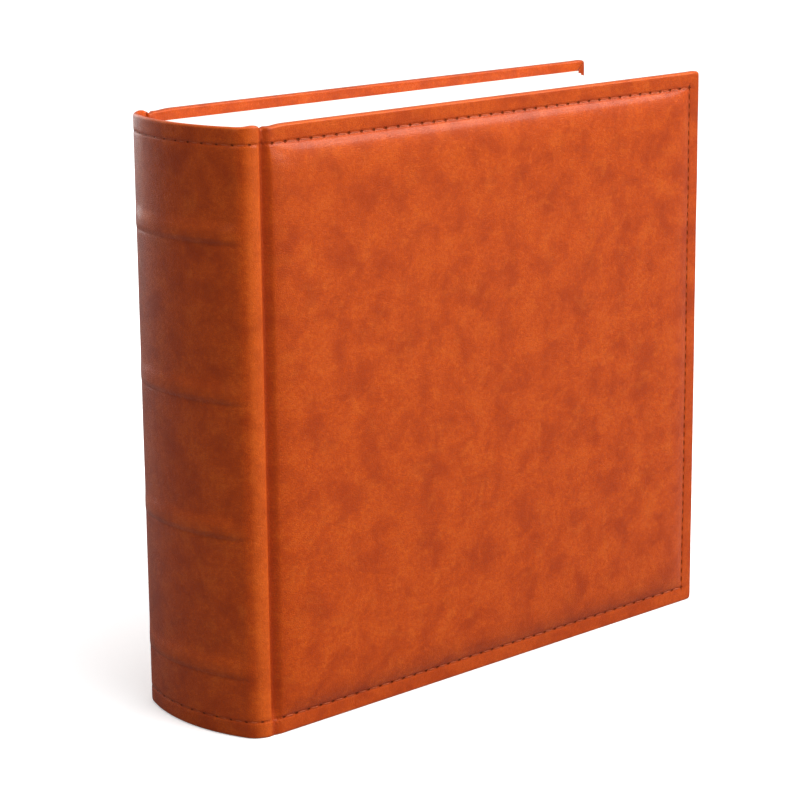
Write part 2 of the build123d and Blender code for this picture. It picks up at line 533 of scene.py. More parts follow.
class SharedEffects:
    """The node groups that several finishes use, each built once."""

    def __init__(self) -> None:
        """Build every group."""
        self.grain = self._build_grain()
        self.blotches = self._build_blotches()
        self.holes = self._build_holes()
        self.fibres = self._build_fibres()
        self.weave = self._build_weave()

    @staticmethod
    def _build_grain() -> bpy.types.NodeTree:
        """Fine pebbled leather grain with thin wandering creases, as a height and a pore mask."""
        group, bench, given, made = new_group(
            "leather_grain",
            [("Sheet", "Vector", None), ("Pebbles per metre", "Float", 900.0), ("Creases", "Float", 0.5)],
            [("Height", "Float"), ("Pores", "Float")],
        )
        sheet = given.outputs["Sheet"]
        warp = bench.node("ShaderNodeTexNoise")
        bench.feed(warp, Vector=sheet, Scale=420.0, Detail=2.0)
        offset = bench.node("ShaderNodeVectorMath", operation="MULTIPLY_ADD")
        bench.tree.links.new(warp.outputs["Color"], offset.inputs[0])
        offset.inputs[1].default_value = (0.0011, 0.0011, 0.0011)
        bench.tree.links.new(sheet, offset.inputs[2])
        cells = bench.node("ShaderNodeTexVoronoi", feature="DISTANCE_TO_EDGE")
        pebbles = given.outputs["Pebbles per metre"]
        bench.feed(cells, Vector=offset.outputs[0], Scale=pebbles, Randomness=1.0)
        pebble = bench.ramp(cells.outputs["Distance"], 0.0, 0.22)
        tooth = bench.noise(sheet, 2600.0, 3.0)
        long_crease = bench.node("ShaderNodeTexVoronoi", feature="DISTANCE_TO_EDGE")
        turned = bench.stretched(offset.outputs[0], (150.0, 90.0, 1.0), 0.7)
        bench.feed(long_crease, Vector=turned, Scale=1.0, Randomness=1.0)
        crease = bench.ramp(long_crease.outputs["Distance"], 0.0, 0.05)
        where = bench.ramp(bench.noise(sheet, 22.0, 2.0), 0.46, 0.66)
        kept = bench.maths("MULTIPLY", where, given.outputs["Creases"])
        crease_dip = bench.maths("MULTIPLY", bench.maths("SUBTRACT", 1.0, crease), kept)
        pebbled = bench.maths("MULTIPLY", pebble, 0.6)
        height = bench.maths("ADD", pebbled, bench.maths("MULTIPLY", tooth, 0.55))
        height = bench.maths("SUBTRACT", height, crease_dip)
        pores = bench.maths("MAXIMUM", bench.maths("SUBTRACT", 1.0, pebble), crease_dip, clamp=True)
        bench.feed(made, Height=height, Pores=pores)
        return group

    @staticmethod
    def _build_blotches() -> bpy.types.NodeTree:
        """Cloudy light and dark patches of pull-up leather, as two masks and a fine cloud."""
        group, bench, given, made = new_group(
            "leather_blotches",
            [("Sheet", "Vector", None), ("Patches per metre", "Float", 52.0)],
            [("Dark", "Float"), ("Light", "Float"), ("Cloud", "Float")],
        )
        sheet = given.outputs["Sheet"]
        size = given.outputs["Patches per metre"]
        broad = bench.noise(sheet, 1.0, 7.0, 0.66, 0.25)
        bench.tree.links.new(size, broad.node.inputs["Scale"])
        shifted = bench.node("ShaderNodeVectorMath", operation="ADD")
        bench.tree.links.new(sheet, shifted.inputs[0])
        shifted.inputs[1].default_value = (3.7, 1.9, 0.4)
        second = bench.noise(shifted.outputs[0], 1.0, 6.0, 0.64, 0.3)
        bench.tree.links.new(bench.maths("MULTIPLY", size, 1.7), second.node.inputs["Scale"])
        speck = bench.noise(sheet, 420.0, 5.0, 0.7)
        dark = bench.ramp(broad, 0.46, 0.68)
        light = bench.ramp(second, 0.50, 0.70)
        cloud = bench.maths("MULTIPLY_ADD", speck, 0.5, bench.maths("MULTIPLY", broad, 0.5))
        bench.feed(made, Dark=dark, Light=light, Cloud=cloud)
        return group

    @staticmethod
    def _build_holes() -> bpy.types.NodeTree:
        """Needle holes along one line of stitches, as a mask."""
        group, bench, given, made = new_group(
            "needle_holes",
            [
                ("Along", "Float", 0.0),
                ("Across", "Float", 0.0),
                ("First", "Float", 0.0),
                ("Last", "Float", 1.0),
                ("Pitch", "Float", 0.008),
                ("Length", "Float", 0.0011),
                ("Width", "Float", 0.0006),
            ],
            [("Hole", "Float"), ("Channel", "Float")],
        )
        out = given.outputs
        steps = bench.maths("DIVIDE", bench.maths("SUBTRACT", out["Along"], out["First"]), out["Pitch"])
        off = bench.maths("SUBTRACT", steps, bench.maths("ROUND", steps))
        along = bench.maths("DIVIDE", bench.maths("MULTIPLY", off, out["Pitch"]), out["Length"])
        across = bench.maths("DIVIDE", out["Across"], out["Width"])
        squares = bench.maths("ADD", bench.maths("POWER", along, 2.0), bench.maths("POWER", across, 2.0))
        reach = bench.maths("SQRT", squares)
        half_pitch = bench.maths("MULTIPLY", out["Pitch"], 0.5)
        after = bench.maths("GREATER_THAN", out["Along"], bench.maths("SUBTRACT", out["First"], half_pitch))
        before = bench.maths("LESS_THAN", out["Along"], bench.maths("ADD", out["Last"], half_pitch))
        span = bench.maths("MULTIPLY", after, before)
        hole = bench.maths("MULTIPLY", bench.ramp(reach, 0.55, 1.15, 1.0, 0.0), span)
        near = bench.ramp(bench.maths("ABSOLUTE", across), 0.6, 2.2, 1.0, 0.0)
        channel = bench.maths("MULTIPLY", near, span)
        bench.feed(made, Hole=hole, Channel=channel)
        return group

    @staticmethod
    def _build_fibres() -> bpy.types.NodeTree:
        """Paper or board fibres, as a height and a tone."""
        group, bench, given, made = new_group(
            "paper_fibres",
            [("Place", "Vector", None), ("Coarseness", "Float", 1.0)],
            [("Height", "Float"), ("Tone", "Float")],
        )
        size = bench.maths("DIVIDE", 1.0, given.outputs["Coarseness"])
        place = bench.node("ShaderNodeVectorMath", operation="SCALE")
        bench.tree.links.new(given.outputs["Place"], place.inputs[0])
        bench.tree.links.new(size, place.inputs["Scale"])
        hair = bench.noise(bench.stretched(place.outputs[0], (2400.0, 700.0, 1500.0), 0.5), 1.0, 4.0, 0.7)
        cloud = bench.noise(place.outputs[0], 90.0, 3.0)
        height = bench.maths("MULTIPLY_ADD", hair, 0.7, bench.maths("MULTIPLY", cloud, 0.3))
        bench.feed(made, Height=height, Tone=cloud)
        return group

    @staticmethod
    def _build_weave() -> bpy.types.NodeTree:
        """Plain weave of linen tape and gauze, as a height and a gap mask."""
        group, bench, given, made = new_group(
            "plain_weave",
            [("Place", "Vector", None), ("Threads per metre", "Float", 1800.0)],
            [("Height", "Float"), ("Gaps", "Float")],
        )
        parts = bench.node("ShaderNodeSeparateXYZ")
        bench.tree.links.new(given.outputs["Place"], parts.inputs[0])
        size = bench.maths("MULTIPLY", given.outputs["Threads per metre"], math.pi)
        across = bench.wave(parts.outputs["Y"], size)
        along = bench.wave(parts.outputs["Z"], size)
        height = bench.maths("MAXIMUM", across, along)
        gaps = bench.ramp(height, 0.35, 0.75, 1.0, 0.0)
        bench.feed(made, Height=height, Gaps=gaps)
        return group


@dataclass(frozen=True)
class StitchLine:
    """One straight run of stitches on the flat leather sheet, in metres."""

    first_hole: float
    last_hole: float
    pitch: float
    hole_length: float
    hole_width: float


@dataclass(frozen=True)
class LeatherFinish:
    """Waxed caramel leather: cloudy colour, pebbled grain, edges rubbed by wear and needle holes, with
    painted highlight on the shoulder ridge and the bands' crests and painted shade in the groove, the
    bands' creases, the stitch channels and the holes.
    """

    name: str = "caramel_leather"
    body: Colour = (0.580, 0.072, 0.004, 1.0)
    dark: Colour = (0.360, 0.032, 0.002, 1.0)
    light: Colour = (0.700, 0.120, 0.010, 1.0)
    # lighter colour for edges rubbed by wear and for the painted highlight on the ridge and bands
    worn: Colour = (0.780, 0.135, 0.014, 1.0)
    # painted shade inside the needle holes
    pit: Colour = (0.150, 0.018, 0.002, 1.0)
    roughness: float = 0.31
    coat: float = 0.24

    def build(
        self,
        effects: SharedEffects,
        sizes: AlbumSizes,
        lines: dict[str, StitchLine],
        margin: float,
        groove_s: float,
    ) -> bpy.types.Material:
        """Build the material.

        Args:
            effects: The shared node groups.
            sizes: The album's sizes.
            lines: Stitch lines along the cover, the fore-edge and the spine.
            margin: Distance of the stitches from the edges.
            groove_s: Sheet distance from the spine's middle to a groove line.

        Returns:
            The material.
        """
        material, bench, shader = fresh_material(self.name)
        uv = bench.node("ShaderNodeUVMap", uv_map="sheet").outputs[0]
        parts = bench.node("ShaderNodeSeparateXYZ")
        bench.tree.links.new(uv, parts.inputs[0])
        along = bench.maths("ABSOLUTE", parts.outputs["X"])
        across = bench.maths("SUBTRACT", parts.outputs["Y"], sizes.height / 2)
        from_line = bench.maths("SUBTRACT", bench.maths("ABSOLUTE", across), sizes.height / 2 - margin)
        out = bench.maths("SUBTRACT", along, groove_s)
        fore = bench.maths("SUBTRACT", out, sizes.cover_width - margin)
        hole, channel = self._holes(bench, effects, lines, (out, along, fore, across, from_line))
        grain = bench.node("ShaderNodeGroup", node_tree=effects.grain)
        bench.feed(grain, Sheet=uv, Pebbles_per_metre=950.0, Creases=0.45)
        tone = bench.feed(bench.node("ShaderNodeGroup", node_tree=effects.blotches), Sheet=uv)
        rub = bench.node("ShaderNodeAttribute", attribute_name="rub").outputs["Fac"]
        fold = bench.node("ShaderNodeAttribute", attribute_name="fold").outputs["Fac"]
        colour = bench.mix(bench.maths("MULTIPLY", tone.outputs["Dark"], 0.62), self.body, self.dark)
        colour = bench.mix(bench.maths("MULTIPLY", tone.outputs["Light"], 0.55), colour, self.light)
        speckled = bench.ramp(tone.outputs["Cloud"], 0.42, 0.58)
        colour = bench.mix(bench.maths("MULTIPLY", speckled, 0.34), colour, self.dark)
        flecked = bench.ramp(tone.outputs["Cloud"], 0.49, 0.40)
        colour = bench.mix(bench.maths("MULTIPLY", flecked, 0.38), colour, self.light)
        colour = bench.mix(bench.maths("MULTIPLY", grain.outputs["Pores"], 0.36), colour, self.dark)
        # lighter where edges are rubbed by wear, and painted highlight on the shoulder ridge and the bands'
        # crests
        wear_and_highlight_share = bench.maths("MULTIPLY", rub, bench.ramp(tone.outputs["Cloud"], 0.3, 0.65, 0.75, 0.35))
        colour = bench.mix(wear_and_highlight_share, colour, self.worn)
        # painted shade from the fold mark: in the groove and under the bands' feet, plus the darker strip
        # beside the groove
        colour = bench.mix(bench.maths("MULTIPLY", fold, 0.7), colour, self.dark)
        # painted shade in the sunken stitch channels
        colour = bench.mix(bench.maths("MULTIPLY", channel, 0.42), colour, self.dark)
        # painted shade in the needle holes
        colour = bench.mix(bench.maths("MULTIPLY", hole, 0.92), colour, self.pit)
        shine = bench.maths("MULTIPLY_ADD", tone.outputs["Cloud"], 0.16, self.roughness - 0.08)
        shine = bench.maths("MULTIPLY_ADD", grain.outputs["Pores"], 0.14, shine)
        shine = bench.maths("MULTIPLY_ADD", hole, 0.4, shine, clamp=True)
        height = bench.maths("MULTIPLY_ADD", hole, -6.0, grain.outputs["Height"])
        height = bench.maths("MULTIPLY_ADD", channel, -0.8, height)
        normal = bench.bump(height, 0.8, 0.00015)
        bench.feed(shader, Base_Color=colour, Roughness=shine, Normal=normal)
        shader.inputs["Specular IOR Level"].default_value = 0.5
        shader.inputs["Specular Tint"].default_value = (1.0, 0.40, 0.15, 1.0)
        coat = bench.maths("MULTIPLY_ADD", hole, -self.coat, self.coat)
        bench.feed(shader, Coat_Weight=coat)
        shader.inputs["Coat Roughness"].default_value = 0.20
        return material

    @staticmethod
    def _holes(
        bench: Bench,
        effects: SharedEffects,
        lines: dict[str, StitchLine],
        places: tuple[bpy.types.NodeSocket, ...],
    ) -> tuple[object, object]:
        """Join the masks of all stitch lines.

        Args:
            bench: The material's bench.
            effects: The shared node groups.
            lines: The stitch lines by name.
            places: Sheet coordinates: out from the groove, along, from the fore-edge's line,
                across, and from the head's or tail's line.

        Returns:
            Sockets of the hole mask and the channel mask.
        """
        out, along, fore, across, from_line = places
        runs = {"cover": (out, from_line), "spine": (along, from_line), "fore_edge": (across, fore)}
        hole: object = 0.0
        channel: object = 0.0
        for name, (run, off) in runs.items():
            line = lines[name]
            made = bench.node("ShaderNodeGroup", node_tree=effects.holes)
            bench.feed(made, Along=run, Across=off, First=line.first_hole, Last=line.last_hole)
            bench.feed(made, Pitch=line.pitch, Length=line.hole_length, Width=line.hole_width)
            hole = bench.maths("MAXIMUM", hole, made.outputs["Hole"])
            channel = bench.maths("MAXIMUM", channel, made.outputs["Channel"])
        return hole, channel


def fresh_material(name: str) -> tuple[bpy.types.Material, Bench, bpy.types.Node]:
    """Start a material with one Principled shader.

    Args:
        name: The material's name.

    Returns:
        The material, its bench and its shader.
    """
    material = bpy.data.materials.new(name)
    material.use_nodes = True
    material.node_tree.nodes.clear()
    bench = Bench(material.node_tree)
    shader = bench.node("ShaderNodeBsdfPrincipled")
    output = bench.node("ShaderNodeOutputMaterial")
    bench.tree.links.new(shader.outputs[0], output.inputs["Surface"])
    return material, bench, shader


@dataclass(frozen=True)
class PaperFinish:
    """Paper, card or board: fibres, faint cloudiness and a matt surface."""

    name: str
    light: Colour
    deep: Colour
    roughness: float = 0.75
    coarseness: float = 1.0
    relief: float = 0.00002

    def build(self, effects: SharedEffects) -> bpy.types.Material:
        """Build the material.

        Args:
            effects: The shared node groups.

        Returns:
            The material.
        """
        material, bench, shader = fresh_material(self.name)
        place = bench.node("ShaderNodeTexCoord").outputs["Object"]
        fibres = bench.node("ShaderNodeGroup", node_tree=effects.fibres)
        bench.feed(fibres, Place=place, Coarseness=self.coarseness)
        share = bench.ramp(fibres.outputs["Tone"], 0.35, 0.7)
        fleck = bench.ramp(fibres.outputs["Height"], 0.55, 0.75, 0.0, 0.5)
        colour = bench.mix(bench.maths("MAXIMUM", share, fleck), self.light, self.deep)
        rough = bench.maths("MULTIPLY_ADD", fibres.outputs["Height"], 0.12, self.roughness - 0.06)
        normal = bench.bump(fibres.outputs["Height"], 0.35, self.relief)
        bench.feed(shader, Base_Color=colour, Roughness=rough, Normal=normal)
        return material


@dataclass(frozen=True)
class WovenFinish:
    """Linen tape and gauze: a plain weave with darker gaps."""

    name: str
    thread: Colour
    gap: Colour
    threads_per_metre: float = 1800.0

    def build(self, effects: SharedEffects) -> bpy.types.Material:
        """Build the material.

        Args:
            effects: The shared node groups.

        Returns:
            The material.
        """
        material, bench, shader = fresh_material(self.name)
        place = bench.node("ShaderNodeTexCoord").outputs["Object"]
        weave = bench.node("ShaderNodeGroup", node_tree=effects.weave)
        bench.feed(weave, Place=place, Threads_per_metre=self.threads_per_metre)
        soil = bench.ramp(bench.noise(place, 120.0), 0.4, 0.7, 0.0, 0.35)
        # painted shade in the gaps between the threads, with random soil in the same darker colour
        colour = bench.mix(bench.maths("MAXIMUM", weave.outputs["Gaps"], soil), self.thread, self.gap)
        rough = bench.maths("MULTIPLY_ADD", weave.outputs["Gaps"], 0.1, 0.82)
        normal = bench.bump(weave.outputs["Height"], 0.6, 0.0001)
        bench.feed(shader, Base_Color=colour, Roughness=rough, Normal=normal)
        shader.inputs["Sheen Weight"].default_value = 0.15
        return material


@dataclass(frozen=True)
class ThreadFinish:
    """Waxed sewing thread, with the slant of its twist along each stitch."""

    name: str
    strand: Colour
    shadow: Colour
    roughness: float = 0.45

    def build(self) -> bpy.types.Material:
        """Build the material, which reads the twist from the thread's own UV map."""
        material, bench, shader = fresh_material(self.name)
        uv = bench.node("ShaderNodeUVMap", uv_map="sheet").outputs[0]
        parts = bench.node("ShaderNodeSeparateXYZ")
        bench.tree.links.new(uv, parts.inputs[0])
        turns = bench.maths("MULTIPLY_ADD", parts.outputs["X"], 1500.0, parts.outputs["Y"])
        ply = bench.wave(turns, math.pi)
        fuzz = bench.noise(uv, 900.0, 2.0)
        share = bench.ramp(bench.maths("MULTIPLY_ADD", fuzz, 0.4, ply), 0.25, 0.9)
        colour = bench.mix(share, self.shadow, self.strand)
        rough = bench.maths("MULTIPLY_ADD", fuzz, 0.2, self.roughness - 0.1)
        bench.feed(shader, Base_Color=colour, Roughness=rough, Normal=bench.bump(ply, 0.7, 0.0001))
        return material


@dataclass(frozen=True)
class FoamFinish:
    """Open-cell foam of the cover's padding."""

    name: str = "padding_foam"
    wall: Colour = (0.78, 0.76, 0.68, 1.0)
    cell: Colour = (0.52, 0.49, 0.40, 1.0)

    def build(self) -> bpy.types.Material:
        """Build the material from small round cells."""
        material, bench, shader = fresh_material(self.name)
        place = bench.node("ShaderNodeTexCoord").outputs["Object"]
        cells = bench.node("ShaderNodeTexVoronoi", feature="SMOOTH_F1")
        bench.feed(cells, Vector=place, Scale=1100.0)
        depth = bench.ramp(cells.outputs["Distance"], 0.1, 0.6)
        # painted shade: each cell's hollow is darker towards its middle
        colour = bench.mix(depth, self.cell, self.wall)
        rough = bench.maths("MULTIPLY_ADD", depth, 0.1, 0.85)
        bench.feed(shader, Base_Color=colour, Roughness=rough, Normal=bench.bump(depth, 0.8, 0.0003))
        return material


# --------------------------------------------------------------------------
# The leather case: one skin over the covers, joints and spine
# --------------------------------------------------------------------------


@dataclass(frozen=True)
class CaseOutline:
    """Plan outline of the leather, by sheet distance from the spine's middle, in metres."""

    sizes: AlbumSizes
    spine_radius: float = 100.0 * MM
    shoulder_radius: float = 12.0 * MM
    shoulder_inset: float = 0.9 * MM
    shoulder_setback: float = 2.1 * MM

    @property
    def shoulder_y(self) -> float:
        """How far the shoulders' centres lie from the album's middle plane."""
        return self.sizes.half - self.shoulder_inset - self.shoulder_radius

    @property
    def reach(self) -> float:
        """Distance in X between the centres of the spine's arc and of its shoulders."""
        return math.sqrt((self.spine_radius - self.shoulder_radius) ** 2 - self.shoulder_y**2)

    @property
    def turn(self) -> float:
        """Half the angle that the spine's arc covers."""
        return math.atan2(self.shoulder_y, self.reach)

    @property
    def arc_s(self) -> float:
        """Sheet distance where the spine's arc meets a shoulder."""
        return self.spine_radius * self.turn

    @property
    def shoulder_s(self) -> float:
        """Sheet distance where a shoulder turns into the flat of the joint."""
        return self.arc_s + self.shoulder_radius * (math.pi / 2 - self.turn)

    @property
    def groove_s(self) -> float:
        """Sheet distance of a groove line."""
        return self.shoulder_s + self.shoulder_setback

    def place(self, s: np.ndarray) -> tuple[np.ndarray, np.ndarray]:
        """Outline points and outward normals.

        Args:
            s: Sheet distances, negative towards the front.

        Returns:
            Points and normals in the plan, one row each.
        """
        side = np.where(s < 0, -1.0, 1.0)
        a = np.abs(s)
        shoulder_x = self.sizes.groove_x - self.shoulder_setback
        centre_x = shoulder_x + self.reach
        on_arc = a / self.spine_radius
        on_shoulder = self.turn + (a - self.arc_s) / self.shoulder_radius
        angle = np.where(a <= self.arc_s, on_arc, np.minimum(on_shoulder, math.pi / 2))
        x = np.where(
            a <= self.arc_s,
            centre_x - self.spine_radius * np.cos(on_arc),
            shoulder_x - self.shoulder_radius * np.cos(angle) + np.maximum(a - self.shoulder_s, 0.0),
        )
        y = np.where(
            a <= self.arc_s,
            self.spine_radius * np.sin(on_arc),
            self.shoulder_y + self.shoulder_radius * np.sin(angle),
        )
        points = np.stack([x, y * side], axis=1)
        normals = np.stack([-np.cos(angle), np.sin(angle) * side], axis=1)
        return points, normals


@dataclass(frozen=True)
class LeatherRelief:
    """How far the leather stands off its outline: padding, groove, bands and stitch channel."""

    outline: CaseOutline
    band_heights: tuple[float, ...]
    stitch_margin: float
    groove: float = 1.9 * MM
    padding: float = 3.7 * MM
    crown: float = 2.2 * MM
    padding_roll: float = 6.2 * MM
    hinge_roll: float = 8.0 * MM
    band_rise: float = 1.05 * MM
    band_flat: float = 1.2 * MM
    band_foot: float = 4.6 * MM
    band_slope: float = 9.5 * MM
    channel: float = 0.28 * MM
    unevenness: float = 0.16 * MM
    held_up_low: float = 0.95
    held_up_high: float = 0.45
    pucker: float = 0.24 * MM
    band_crease: float = 0.28 * MM

    def out_from_groove(self, s: np.ndarray) -> np.ndarray:
        """Sheet distance from the nearer groove line, positive on the cover."""
        return np.abs(s) - self.outline.groove_s

    def from_edges(self, t: np.ndarray) -> np.ndarray:
        """Distance from the nearer of head and tail."""
        return np.minimum(t, self.outline.sizes.height - t)

    def joint(self, u: np.ndarray, t: np.ndarray) -> np.ndarray:
        """Drop into the groove and rise on to the cover, shallower where the stitches hold the leather up.

        Args:
            u: Distances out from the groove line.
            t: Heights above the tail.

        Returns:
            The height at each point.
        """
        held_low = self.held_up_low * smooth_step(15 * MM, 6 * MM, t)
        held_high = self.held_up_high * smooth_step(13 * MM, 6 * MM, self.outline.sizes.height - t)
        depth = self.groove * (1 - held_low - held_high)
        drop = -depth * smooth_step(-1.7 * MM, -0.1 * MM, u)
        rise = (depth + self.outline.shoulder_inset) * smooth_step(0.2 * MM, 4.6 * MM, u)
        return drop + rise

    def puckers(self, u: np.ndarray, t: np.ndarray) -> np.ndarray:
        """Small wrinkles where the seam crosses the joint.

        Args:
            u: Distances out from the groove line.
            t: Heights above the tail.

        Returns:
            The height of the wrinkles at each point.
        """
        near = bell(u, 0.5 * MM, 4.5 * MM)
        low = bell(t, self.stitch_margin - 2.5 * MM, 2.2 * MM)
        high = bell(self.outline.sizes.height - t, self.stitch_margin - 1.0 * MM, 2.6 * MM)
        lines = np.sin(2 * math.pi * (u + 0.5 * t) / (2.3 * MM))
        lines = lines + 0.6 * np.sin(2 * math.pi * (u - 0.8 * t) / (3.7 * MM))
        return self.pucker * lines * near * (low + 0.8 * high)

    def pad_share(self, u: np.ndarray, t: np.ndarray) -> np.ndarray:
        """How full the padding is.

        Args:
            u: Distances out from the groove line.
            t: Heights above the tail.

        Returns:
            The share at each point, from 0 at the seams to about 1 in the middle.
        """
        head = np.maximum(self.from_edges(t) - self.stitch_margin - 0.3 * MM, 0.0)
        fore = np.maximum(self.outline.sizes.cover_width - u - self.stitch_margin - 0.3 * MM, 0.0)
        hinge = np.maximum(u - 2.0 * MM, 0.0)
        share = 1 - np.exp(-head / self.padding_roll)
        share = share * (1 - np.exp(-fore / self.padding_roll))
        return share * (1 - np.exp(-hinge / self.hinge_roll))

    def crowning(self, u: np.ndarray, t: np.ndarray) -> np.ndarray:
        """Broad swell of the whole panel.

        Args:
            u: Distances out from the groove line.
            t: Heights above the tail.

        Returns:
            The swell at each point, from 0 to 1.
        """
        wide = 1 - (2 * np.clip(u / self.outline.sizes.cover_width, 0, 1) - 1) ** 2
        tall = 1 - (2 * np.clip(t / self.outline.sizes.height, 0, 1) - 1) ** 2
        return np.maximum(wide, 0) ** 0.8 * np.maximum(tall, 0) ** 0.8

    def bands(self, s: np.ndarray, t: np.ndarray) -> np.ndarray:
        """Raised bands with a thin crease at their feet, fading out on the shoulders.

        Args:
            s: Sheet distances along the outline.
            t: Heights above the tail.

        Returns:
            The height of the bands at each point.
        """
        end = self.outline.shoulder_s
        window = 1 - smooth_step(end - 26 * MM, end - 5 * MM, np.abs(s))
        total = np.zeros_like(t)
        for height in self.band_heights:
            off = t - height
            upper = 1 - smooth_step(self.band_flat, self.band_slope, off)
            lower = 1 - smooth_step(self.band_flat, self.band_foot, -off)
            crease = self.band_crease * bell(off, -self.band_foot, 0.8 * MM)
            total += self.band_rise * np.minimum(upper, lower) - crease
        return total * window

    def channels(self, u: np.ndarray, t: np.ndarray) -> np.ndarray:
        """Shallow channel that the stitches pull into the leather.

        Args:
            u: Distances out from the groove line.
            t: Heights above the tail.

        Returns:
            The channel's depth at each point, from 0 to 1.
        """
        from_edges, margin = self.from_edges(t), self.stitch_margin
        along = bell(from_edges, margin, 0.8 * MM)
        fore_line = self.outline.sizes.cover_width - margin
        along = along * smooth_step(fore_line + 1.5 * MM, fore_line + 0.3 * MM, u)
        inside = smooth_step(margin - 1.5 * MM, margin - 0.3 * MM, from_edges)
        fore = bell(u, fore_line, 0.8 * MM) * inside
        return np.maximum(along, fore)

    def height(self, s: np.ndarray, t: np.ndarray) -> np.ndarray:
        """Height of the leather over its outline.

        Args:
            s: Sheet distances along the outline.
            t: Heights above the tail.

        Returns:
            The height at each point.
        """
        u = self.out_from_groove(s)
        on_cover = smooth_step(1.0 * MM, 6.0 * MM, u)
        total = self.joint(u, t) + self.puckers(u, t) + self.bands(s, t)
        total = total - self.channel * self.channels(u, t)
        total = total + self.padding * self.pad_share(u, t)
        total = total + self.crown * self.crowning(u, t) * on_cover
        calm = smooth_step(10 * MM, 30 * MM, self.from_edges(t))
        noise = uneven(np.stack([s, t], axis=1), 28.0, 2.3)
        return total + self.unevenness * noise * (0.35 + 0.65 * calm) * (0.4 + 0.6 * on_cover)

    def edge_shift(self, s: np.ndarray, t: np.ndarray) -> np.ndarray:
        """How far the leather's edge is pulled up or down beside the joint.

        Args:
            s: Sheet distances along the outline.
            t: Heights above the tail.

        Returns:
            The shift along Z at each point.
        """
        u = self.out_from_groove(s)
        top = 0.75 * bell(u, -5.5 * MM, 4.0 * MM) - 1.7 * bell(u, 0.6 * MM, 1.5 * MM)
        top = top - 0.9 * bell(u, 6.0 * MM, 5.0 * MM)
        low = -0.3 * bell(u, -2.0 * MM, 4.0 * MM)
        top = top + 0.4 * np.exp(-np.maximum(self.outline.sizes.cover_width - u, 0.0) / (5.0 * MM))
        head = np.exp(-(self.outline.sizes.height - t) / (5.0 * MM))
        tail = np.exp(-t / (4.0 * MM))
        return (top * head + low * tail) * MM

    def worn(self, s: np.ndarray, t: np.ndarray) -> np.ndarray:
        """Where the leather is painted lighter: painted highlight on the shoulder ridge beside the groove
        and on the bands' crests.

        Args:
            s: Sheet distances along the outline.
            t: Heights above the tail.

        Returns:
            The painted highlight at each point, from 0 to 1.
        """
        u = self.out_from_groove(s)
        # painted highlight along the shoulder ridge
        ridge = 0.85 * smooth_step(-12.0 * MM, -7.5 * MM, u) * smooth_step(-0.6 * MM, -2.2 * MM, u)
        # painted highlight on the crests of the bands
        band = 0.25 * np.clip(self.bands(s, t) / self.band_rise, 0, 1)
        return np.clip(ridge + band, 0, 1)

    def folded(self, s: np.ndarray, t: np.ndarray) -> np.ndarray:
        """Where the leather is painted darker: painted shade in the groove and in the crease under each
        band's foot, and a darker strip on the cover beside the groove.

        Args:
            s: Sheet distances along the outline.
            t: Heights above the tail.

        Returns:
            The darkness at each point, from 0 to 1.
        """
        u = self.out_from_groove(s)
        # a darker strip on the cover, fading out 16 mm from the groove
        beside = smooth_step(16 * MM, 2 * MM, u) * smooth_step(0, 2 * MM, u)
        # painted shade in the groove's hollow
        groove = bell(u, 0.4 * MM, 1.5 * MM) + 0.28 * beside
        # painted shade in the crease under each band's foot
        feet = np.clip(-self.bands(s, t) / (0.5 * MM), 0, 1)
        return np.clip(groove + 0.55 * feet, 0, 1)


@dataclass(frozen=True)
class EdgeRoll:
    """How the leather rolls over an edge and is turned in, in metres."""

    outer_radius: float = 1.3 * MM
    inner_radius: float = 1.0 * MM
    cover_turn_in: float = 14.0 * MM
    spine_turn_in: float = 10.0 * MM

    def steps(self, depth: np.ndarray, turn_in: np.ndarray) -> list[tuple[np.ndarray, np.ndarray]]:
        """Rings from the flat margin round the edge to the end of the turn-in.

        Args:
            depth: How deep the turned-in face lies at each point of the edge.
            turn_in: How far the leather runs back on the inside.

        Returns:
            Outward distance and depth of each ring.
        """
        rings: list[tuple[np.ndarray, np.ndarray]] = []
        none = np.zeros_like(depth)
        for angle in (30, 60, 90):
            turn = math.radians(angle)
            outward = none + self.outer_radius * math.sin(turn)
            rings.append((outward, none + self.outer_radius * (1 - math.cos(turn))))
        rings.append((none + self.outer_radius, (self.outer_radius + depth - self.inner_radius) / 2))
        for angle in (0, 45, 90):
            turn = math.radians(angle)
            back = self.inner_radius * (1 - math.cos(turn))
            down = depth - self.inner_radius * (1 - math.sin(turn))
            rings.append((none + self.outer_radius - back, down))
        rings.append((none - 0.25 * turn_in, depth))
        rings.append((-turn_in, depth))
        return rings


